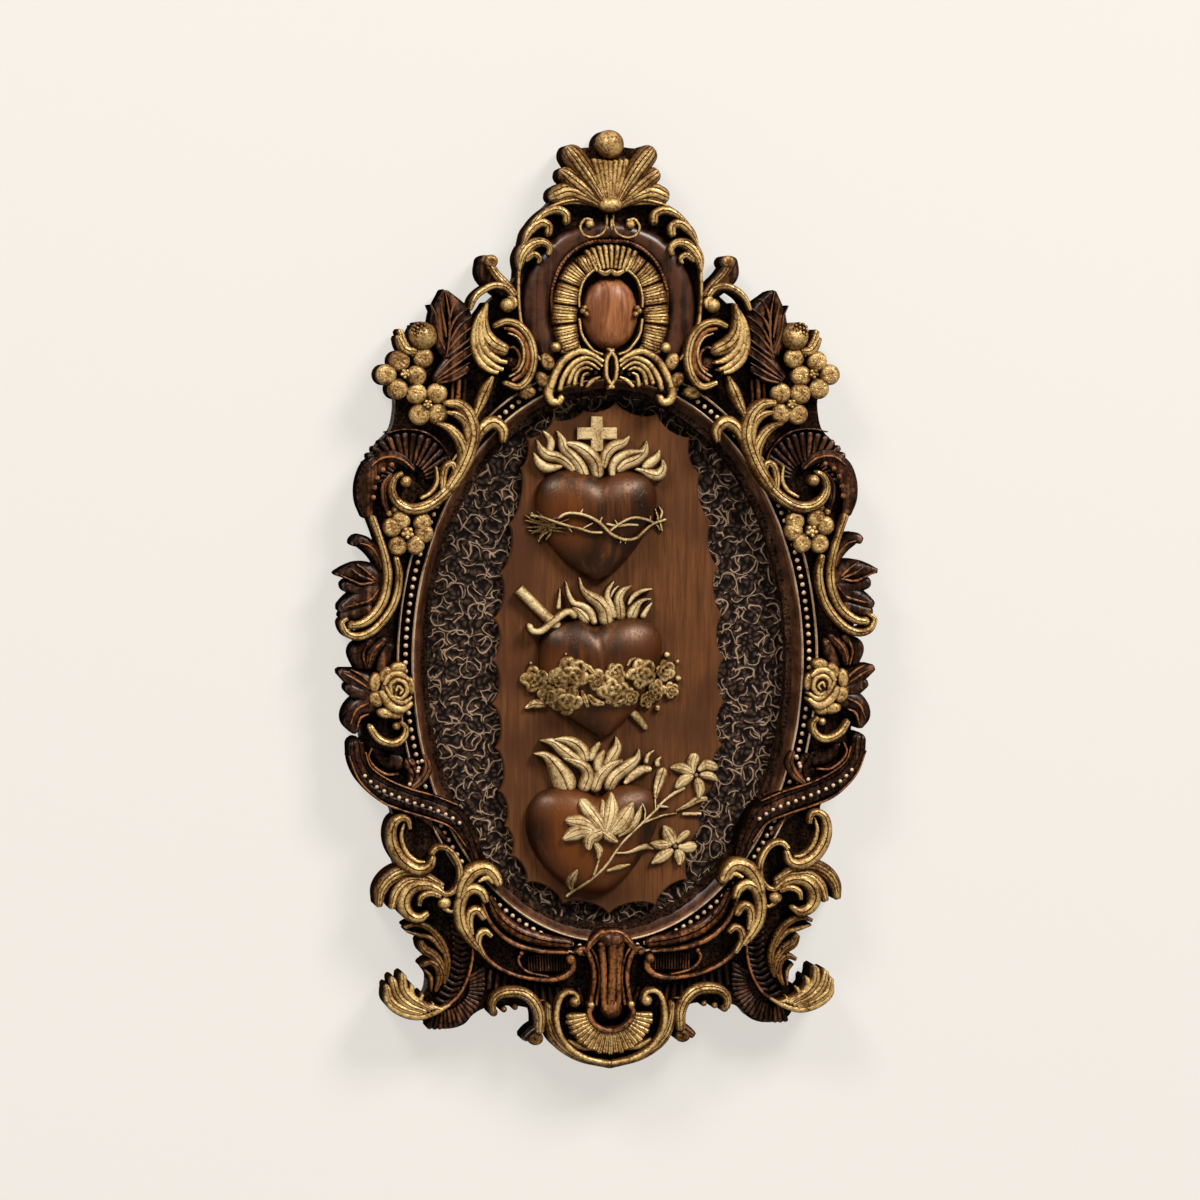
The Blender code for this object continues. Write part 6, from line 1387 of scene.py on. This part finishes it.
flames_lower = tongues("gilt_flames_lower", [
    ([(532, 752), (543, 754), (552, 763), (560, 775), (564.5, 786)], (0.4, 3.6, 7.4, 9.6, 8.8), 2, .0076),
    ([(538, 739), (550, 741), (559, 748), (568, 755), (576, 760)], (0.4, 3.2, 4.6, 4.8, 4), 1, .0066),
    ([(552, 738), (563, 739), (573, 743), (580, 750), (583, 758)], (0.4, 3, 4.8, 5.6, 4), 1, .0072),
    ([(562, 757), (573, 761), (583, 767), (586, 776), (582, 787)], (0.8, 3.2, 4.4, 5.4, 5), 1, .0086),
    ([(596.5, 743), (592, 750), (588, 758)], (1.4, 3.4, 2.8), 0, .0054),
    ([(601, 751), (597, 759), (595, 769)], (1.4, 4.2, 3), 0, .0066),
    ([(613.5, 736.5), (615, 747), (610, 757), (603, 766)], (0.4, 4, 5.2, 3), 1, .0062),
    ([(620, 760), (608, 765), (598, 775), (593, 787)], (0.8, 3.8, 5, 5), 1, .0080),
    ([(636.5, 749), (634, 759), (623, 768), (612, 777), (607, 786)], (0.4, 3.8, 5.2, 5.4, 5), 1, .0076),
    ([(648, 769), (639, 770), (630, 776), (622, 783)], (1.8, 3.8, 3.8, 1.2), 0, .0066),
    ([(652, 750), (645.5, 755), (643.5, 762)], (0.3, 1.6, 2.6), 0, .0054),
    ([(658.5, 757), (655, 761), (655, 765)], (0.3, 2, 2.4), 0, .0050)])

# %% [markdown]
# Thorns, roses and lilies lie across the hearts. The same bands are used, lifted by the
# height of the dome under each point, so that a stem bends over the polished wood and
# comes down on the board beside it.

# %% The crown of thorns
def draped(heart, rise=0.0):
    """How far a carving is lifted where it lies across a heart."""
    return lambda x, z: heart.lift(x, z) + rise


thorns, slit_shade = Carving(), Carving()
for points, half, top, rise in (
        ([(529, 515), (538, 516.5), (549, 520.5), (561, 524.5), (573, 527.5), (584, 531), (595, 531.5)],
         (1.0, 1.3, 1.3, 1.2), 0.0024, 0.0010),
        ([(553, 517), (558, 513.5), (565, 512), (576, 513.5), (585, 517), (593, 522), (600, 529),
          (606, 534), (614, 537.5), (620, 539), (631, 537.5), (639, 531), (648, 524.5), (662.5, 519.5)],
         (1.3, 1.5, 1.6, 1.5, 1.5, 1.2), 0.0026, 0.0014),
        ([(604, 529.5), (612, 523.5), (620, 519), (628, 517), (637, 518), (645, 520.5), (652, 523.5)],
         (1.2, 1.4, 1.4, 1.3), 0.0025, 0.0008),
        ([(600, 523), (610, 525), (622, 524), (632, 524.5)], (1.0, 1.6, 1.4, 1.0), 0.0015, 0.0),
        ([(574, 512), (576, 508)], (1.1, 0.5), 0.0022, 0.0012),
        ([(593, 521), (595, 516.5)], (1.2, 0.6), 0.0022, 0.0014),
        ([(577, 527), (586, 522)], (0.9, 0.5), 0.0018, 0.0006),
        ([(645, 521), (645.5, 516)], (1.2, 0.6), 0.0022, 0.001),
        ([(614, 537), (614, 542)], (1.2, 0.6), 0.0020, 0.0008),
        ([(620, 538), (619, 543)], (1.2, 0.6), 0.0020, 0.0008),
        ([(656, 507), (659, 512), (657.5, 518)], (0.6, 1.1, 1.3), 0.0022, 0.001),
        ([(651, 509), (654, 515), (655, 520)], (0.5, 1.0, 1.2), 0.0022, 0.0006),
        ([(657, 522), (659.5, 531)], (1.2, 0.7), 0.0022, 0.0004),
        ([(653, 523), (657, 530)], (1.2, 0.7), 0.0020, 0.0002),
        ([(536, 541), (540, 534), (546, 529)], (0.6, 1.1, 1.2), 0.0020, 0.0),
        ([(543, 539), (546, 533)], (0.5, 1.0), 0.0018, 0.0),
        ([(529, 512), (532, 517)], (0.5, 1.0), 0.0022, 0.0),
        ([(566, 531), (562, 526)], (0.5, 1.1), 0.0020, 0.0004),
        ([(608, 519), (611, 524)], (0.5, 1.1), 0.0022, 0.0006)):
    band(thorns, points, half, HEART_BACK + top, edge=0.5, lift=draped(UPPER, rise), step=0.0007,
         **ON_HEART)
for points in ([(523, 520), (536, 523), (549, 527), (562, 527)],
               [(525, 527), (538, 526), (550, 523), (563, 518)],
               [(527, 513), (539, 519), (552, 527)], [(529, 533), (540, 527), (553, 519)],
               [(534, 511), (541, 520), (547, 533)], [(523, 515), (534, 521), (546, 519), (557, 514)],
               [(537, 536), (542, 528), (541, 516)], [(526, 530), (536, 531), (549, 530), (558, 531)]):
    band(thorns, points, (0.7, 1.3, 1.2, 0.5), HEART_BACK + 0.0022, edge=0.5, lift=draped(UPPER),
         step=0.0009, bright=0.42, **ON_HEART)
# A dark strip on the upper heart: painted shade standing for the inside of the wound slit.
for points, half in (([(628, 502), (634, 496), (640, 489)], (0.3, 0.8, 0.3)),
                     ([(632, 500), (634, 503)], (0.7, 0.5)), ([(635, 504), (637, 507)], (0.6, 0.4))):
    band(slit_shade, points, half, HEART_BACK + 0.0004, lift=draped(UPPER), step=0.0007, **ON_HEART)
thorn_wreath = thorns.make("thorn_wreath", PALE_GILT)
heart_slit_shade = slit_shade.make("heart_slit_shade", BLOCK)

# %% The dagger
dagger = Carving()
band(dagger, [(517, 588), (540, 611.5), (566, 636)], (5.6, 5.4, 5.8), HEART_BACK + 0.0078, edge=0.35,
     blunt=True, **ON_HEART)
band(dagger, [(528, 625), (530, 629), (535, 630.5), (541, 629), (551, 621), (561, 613), (568, 611),
              (572.5, 615)], (3.2, 3.2, 3.3, 3.4, 3.5, 3.4, 3.4, 3.4), HEART_BACK + 0.0108,
     base=HEART_BACK + 0.0030, edge=0.35, step=0.0008, **ON_BOARD)
dagger_hilt = dagger.make("dagger_hilt_gilt", PALE_GILT)
blade = Carving()
band(blade, [(627, 709), (636, 719), (643, 728)], (4.2, 4.2, 2.8), HEART_BACK + 0.0030, base=BOARD_FRONT,
     edge=0.4, step=0.0008, **ON_BOARD)
dagger_point = blade.make("dagger_point_gilt", PALE_GILT)

# %% The rose garland
garland, on_middle = Carving(), dict(lift=draped(MIDDLE), **ON_BOARD)


def rose(centre, size, top, seed):
    """Two rings of cupped petals round a bud, the inner ring higher than the outer."""
    wide = 1.08 * size
    rise = top - max(HEART_BACK + 0.0002, top - 1.1 * wide * SQUARE)
    given = dict(base=top - rise, **on_middle)
    boss(garland, centre, 0.82 * wide, top - 0.30 * rise, around=30, rings=6, **given)
    for count, reach, radius, drop in ((5, 0.55, 0.50, 0.22), (3, 0.22, 0.40, 0.05)):
        for k in range(count):
            turn = 2 * math.pi * (k + 0.5 * count) / count + seed + reach * 2
            uneven = 1 + 0.10 * math.sin(5 * k + 3 * seed)
            spot = (centre[0] + wide * reach * math.cos(turn), centre[1] + wide * reach * math.sin(turn))
            boss(garland, spot, (radius * wide * 1.12 * uneven, radius * wide * uneven), top - drop * rise,
                 pits=0.07, dimple=0.21, power=2.8, around=24, rings=10, turned=turn, **given)
    boss(garland, centre, 0.20 * wide, top, pits=0.1, dimple=0.1, around=14, rings=6, **given)


ROSES = [((532.5, 678.5), 12, 0.0058, 0.2), ((553, 676), 9, 0.0050, 0.9), ((566.5, 672), 16, 0.0068, 0.0),
         ((546, 694), 9.5, 0.0052, 1.7), ((561.5, 699), 14, 0.0064, 2.2), ((592, 679), 10, 0.0054, 0.5),
         ((608.5, 671), 9.5, 0.0056, 1.2), ((606, 686), 15, 0.0070, 1.0), ((625, 696), 8.5, 0.0052, 0.3),
         ((636.5, 672), 14, 0.0068, 2.6), ((663, 670.5), 10, 0.0058, 1.4), ((653.5, 690), 9.5, 0.0060, 0.8),
         ((644, 700), 8, 0.0050, 2.0), ((669, 690.5), 7.5, 0.0052, 0.1)]
for centre, size, top, seed in ROSES:
    rose(centre, size, HEART_BACK + top, seed)
for spot, radius in (((664.7, 655), 3.6), ((675, 662), 2.3), ((676, 678.5), 3.3), ((655, 708.5), 3.4),
                     ((528.5, 662), 1.6), ((560, 652), 1.4), ((622, 674.5), 4.4)):
    boss(garland, spot, radius, HEART_BACK + 0.0040, base=HEART_BACK, around=16, rings=6, pits=0.1,
         **on_middle)
for points, half in (([(542, 704), (532, 703), (523, 707)], (2.4, 5.2, 1)),
                     ([(576, 689), (579, 697), (582, 705)], (1, 3, 1.4)),
                     ([(577, 662), (583, 666), (587, 671)], (1, 3.2, 2)),
                     ([(621, 664), (624, 659), (629, 656)], (1, 1.6, 0.8)),
                     ([(600, 699), (612, 702), (622, 697)], (2, 4.4, 2)),
                     ([(583, 694), (588, 700), (597, 702)], (2, 4.5, 2))):
    band(garland, points, half, HEART_BACK + 0.0036, base=HEART_BACK, cuts=1, edge=0.5, step=0.0009,
         **on_middle)
rose_garland = garland.make("rose_garland_gilt", ROSE_GILT)

# %% The lily spray
lilies, on_lower = Carving(), dict(lift=draped(LOWER), **ON_BOARD)
for points, half, top, cuts in (
        ([(564, 896), (577, 885), (589, 875), (601, 862), (615, 842), (634, 824), (651, 810), (669, 796),
          (681, 789)], (1.6, 1.4, 1.3, 1.3, 1.3, 1.4, 2.4), 0.0022, 0),
        ([(588, 873), (591, 863), (594, 850)], (1.6, 1.1, 1.1), 0.0020, 0),
        ([(610, 851), (622, 851), (634, 847.5), (642, 846.5), (651, 849.5)], (0.8, 1.2, 2.2, 3.2, 1),
         0.0022, 0),
        ([(636, 822), (648, 818.5), (661, 816), (674, 814)], (1.2, 1.1, 1.0, 0.8), 0.0018, 0),
        ([(651, 810), (651, 800), (652, 795)], (0.8, 0.8, 1), 0.0020, 0),
        ([(652, 797), (656, 785), (660, 773)], (2, 5, 5.6), 0.0034, 1),
        ([(673, 812), (686, 806), (695, 801), (704, 800)], (0.8, 2.4, 3.8, 2), 0.0030, 1),
        ([(681, 815), (698, 815)], (1.8, 1.8), 0.0026, 0),
        ([(654, 806), (660, 807), (666, 808)], (1.4, 1.5, 0.5), 0.0022, 0),
        ([(601, 869), (613, 866), (625, 863.5)], (1, 3, 0.6), 0.0024, 0),
        ([(569, 890), (566.5, 880), (571.5, 868)], (1, 5.4, 1), 0.0026, 1),
        ([(637, 803), (639.5, 810), (639, 818)], (0.8, 0.9, 0.8), 0.0016, 0)):
    band(lilies, points, half, HEART_BACK + top, base=HEART_BACK, cuts=cuts, edge=0.5, step=0.0009,
         **on_lower)
PETALS = [
    ([(598, 829), (589, 816), (578, 801)], (1.4, 5.6, 6.0, 4.4), 0.0046),
    ([(600, 828), (597, 812), (598, 799)], (1.2, 3.4, 0.8), 0.0032),
    ([(599, 830), (605, 812), (607, 792)], (1.4, 6.2, 6.0, 0.8), 0.0050),
    ([(603, 832), (616, 820), (627, 801)], (1.8, 8.0, 7.0, 1.0), 0.0044),
    ([(612, 834), (628, 822), (636, 804)], (1.0, 3.4, 3.0, 0.6), 0.0030),
    ([(593, 830), (579, 821), (562, 818)], (1.2, 4.6, 6.0, 2.6), 0.0038),
    ([(590, 831), (574, 829), (558, 836)], (1.2, 5.6, 6.4, 1.4), 0.0044),
    ([(594, 830), (584, 836), (582, 846)], (3.0, 6.4, 5.0, 1.6), 0.0052),
    ([(588, 840), (593, 848), (592, 856)], (1.4, 3.6, 1.0), 0.0034),
    ([(597, 830), (604, 835), (611, 840)], (2.0, 4.6, 0.8), 0.0048),
    ([(691, 774), (680, 769), (668, 768)], (1.4, 4.6, 4.4, 0.8), 0.0038),
    ([(691, 772), (690, 765), (692, 758.5)], (1.6, 5.0, 4.4), 0.0036),
    ([(697, 771), (704, 766), (712, 768)], (1.6, 4.6, 3.6), 0.0034),
    ([(699, 776), (708, 777), (716, 782)], (1.6, 3.8, 3.4, 0.5), 0.0038),
    ([(695, 780), (698, 789), (696.5, 799)], (1.6, 4.8, 4.2, 0.8), 0.0042),
    ([(690, 777), (682, 781), (674, 788)], (1.6, 4.8, 4.6, 1.4), 0.0040),
    ([(671, 844), (667, 836), (661.5, 827)], (2.0, 6.0, 5.4, 0.8), 0.0040),
    ([(675, 843), (680, 838), (685, 834)], (1.6, 3.6, 2.6), 0.0034),
    ([(677, 848), (684, 849), (690, 848)], (1.6, 4.8, 4.4), 0.0038),
    ([(675, 852), (678, 859), (677, 866)], (1.6, 5.0, 4.2, 0.8), 0.0040),
    ([(670, 851), (661, 857), (649, 864)], (1.4, 5.0, 4.4, 0.6), 0.0040),
    ([(668, 845), (658, 846), (647, 843.5)], (1.6, 4.4, 4.0, 0.6), 0.0038)]
for points, half, top in PETALS:
    band(lilies, points, np.multiply(half, 1.22), HEART_BACK + top, base=HEART_BACK + 0.0006, cuts=2,
         depth=0.2, edge=0.25, cut_wax_and_shade=0.3, step=0.0008, **on_lower)
for centre in ((597, 831), (694, 776), (673, 847)):
    boss(lilies, centre, 2.4, HEART_BACK + 0.0050, base=HEART_BACK, around=14, rings=6, pits=0.2,
         bright=0.6, **on_lower)
lily_spray = lilies.make("lily_spray_gilt", PALE_GILT)

# %% [markdown]
# Every piece is listed with the solid of the model it stands for, which is then hidden, and
# rides on the one body.

# %% Which solid each piece stands for
STANDS_FOR = {
    "frame": [frame_block, oval_moulding, gilt_lines, oval_beads, strap_pearls, volute_pearls, rim_pearls,
              cartouche_ring, crest_cabochon, gold_crest, walnut_crest, clasp_slot,
              gold_shoulders, walnut_shoulders, copper_shoulders, gold_sides, walnut_sides, copper_sides,
              gold_lower, copper_lower, walnut_lower, gold_foot],
    "ground_panel": [crackled_ground], "scalloped_board": [scalloped_plate], "cross": [gilt_cross],
    "heart_upper": [heart_upper, heart_slit_shade], "heart_middle": [heart_middle], "heart_lower": [heart_lower],
    "flames_upper": [flames_upper], "flames_middle": [flames_middle], "flames_lower": [flames_lower],
    "crown_of_thorns": [thorn_wreath], "dagger_hilt": [dagger_hilt], "dagger_point": [dagger_point],
    "rose_garland": [rose_garland], "lily_spray": [lily_spray]}
for solid, made in STANDS_FOR.items():
    for piece in made:
        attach(piece, "root")
        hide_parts(solid)

# %% [markdown]
# The plaque hangs on a plain pale wall that sweeps into a floor. The light is soft and
# comes from the upper left, with a second lamp on the right for the shine of the hearts.
# Seen from behind, the wall lets the view through, so that the back can be looked at.

# %% Wall, light and camera
def wall_material():
    """Pale paint that is bright down to the floor, and clear when seen from behind."""
    material, tree, shader = blank_material("pale_wall")
    where = object_place(tree)
    tint = node(tree, "ShaderNodeTexNoise", {"Scale": 1.5, "Detail": 2.0, "Vector": where})
    colour = mixed(tree, ramp(tree, tint.outputs["Fac"], 0.3, 0.7, 0.0, 0.25), (0.86, 0.826, 0.765, 1),
                   (0.850, 0.815, 0.755, 1))
    tree.links.new(mixed(tree, 1.0, colour, (0.30, 0.30, 0.30, 1), "MULTIPLY"), shader.inputs["Base Color"])
    shader.inputs["Roughness"].default_value = 0.9
    shader.inputs["Specular IOR Level"].default_value = 0.0
    high = node(tree, "ShaderNodeSeparateXYZ", {0: where})
    tree.links.new(colour, shader.inputs["Emission Color"])
    tree.links.new(ramp(tree, high.outputs["Z"], -0.9, -0.7, 0.0, 0.72), shader.inputs["Emission Strength"])
    clear = node(tree, "ShaderNodeBsdfTransparent")
    choose = node(tree, "ShaderNodeMixShader", {
        0: node(tree, "ShaderNodeNewGeometry").outputs["Backfacing"], 1: shader.outputs[0],
        2: clear.outputs[0]})
    tree.links.new(choose.outputs[0], tree.nodes["Material Output"].inputs["Surface"])
    return material


WALL_GAP, WALL_TOP, BEND_TOP, BEND = 0.004, 2.4, -0.9, 0.304


def sweep_wall():
    """A wall just behind the plaque that bends forward into a floor."""
    start, floor = WALL_GAP - BEND, BEND_TOP - BEND
    curve = [(WALL_GAP, WALL_TOP), (WALL_GAP, BEND_TOP)]
    curve += [(start + BEND * math.cos(a), BEND_TOP - BEND * math.sin(a)) for a in np.linspace(0.1, 1.47, 9)]
    curve += [(start, floor), (-4.5, floor)]
    points = [(x, y, z) for y, z in curve for x in (-4.0, 4.0)]
    faces = [(2 * i, 2 * i + 2, 2 * i + 3, 2 * i + 1) for i in range(len(curve) - 1)]
    mesh = bpy.data.meshes.new("pale_wall")
    mesh.from_pydata(points, [], faces)
    wall = added("pale_wall", mesh)
    mesh.materials.append(wall_material())
    mesh.shade_smooth()
    if mesh.polygons[0].normal.y > 0:
        mesh.flip_normals()
    return wall


sweep_wall()


def lamp(name, place_at, look_at, size, power, colour):
    data = bpy.data.lights.new(name, "AREA")
    data.shape, data.size, data.size_y = "RECTANGLE", size[0], size[1]
    data.energy, data.color = power, colour
    made = added(name, data)
    made.location = place_at
    made.rotation_euler = (Vector(look_at) - Vector(place_at)).to_track_quat("-Z", "Y").to_euler()


TARGET = (0.0, 0.0, -0.17)
lamp("window_left", (-2.6, -3.0, 3.6), TARGET, (1.6, 1.6), 185, (1.0, 0.975, 0.945))
lamp("lamp_right", (2.2, -3.0, 3.0), TARGET, (1.6, 1.6), 240, (1.0, 0.965, 0.93))
world = bpy.data.worlds.new("soft_room")
world.use_nodes = True
world.node_tree.nodes["Background"].inputs["Color"].default_value = (1.0, 0.975, 0.94, 1)
world.node_tree.nodes["Background"].inputs["Strength"].default_value = 0.10
bpy.context.scene.world = world
bpy.context.scene.view_settings.view_transform = "Standard"

YAW, RISE, DISTANCE = TURN, math.radians(2.5), 3.2
SENSOR, PICTURE = 36.0, 1200  # millimetres, and pixels that are one square of the drawing each
MIDDLE_OF_VIEW = Vector((0.0, -0.012, (MOUNT_LINE - 600) * SQUARE))
camera_data = bpy.data.cameras.new("camera")
camera = added("camera", camera_data)
toward = Vector((-math.sin(YAW) * math.cos(RISE), -math.cos(YAW) * math.cos(RISE), math.sin(RISE)))
camera.location = MIDDLE_OF_VIEW + toward * DISTANCE
camera.rotation_euler = (-toward).to_track_quat("-Z", "Y").to_euler()
camera_data.sensor_width = SENSOR
camera_data.lens = SENSOR * DISTANCE / (PICTURE * SQUARE)
camera_data.shift_x = -0.0048
bpy.context.scene.camera = camera
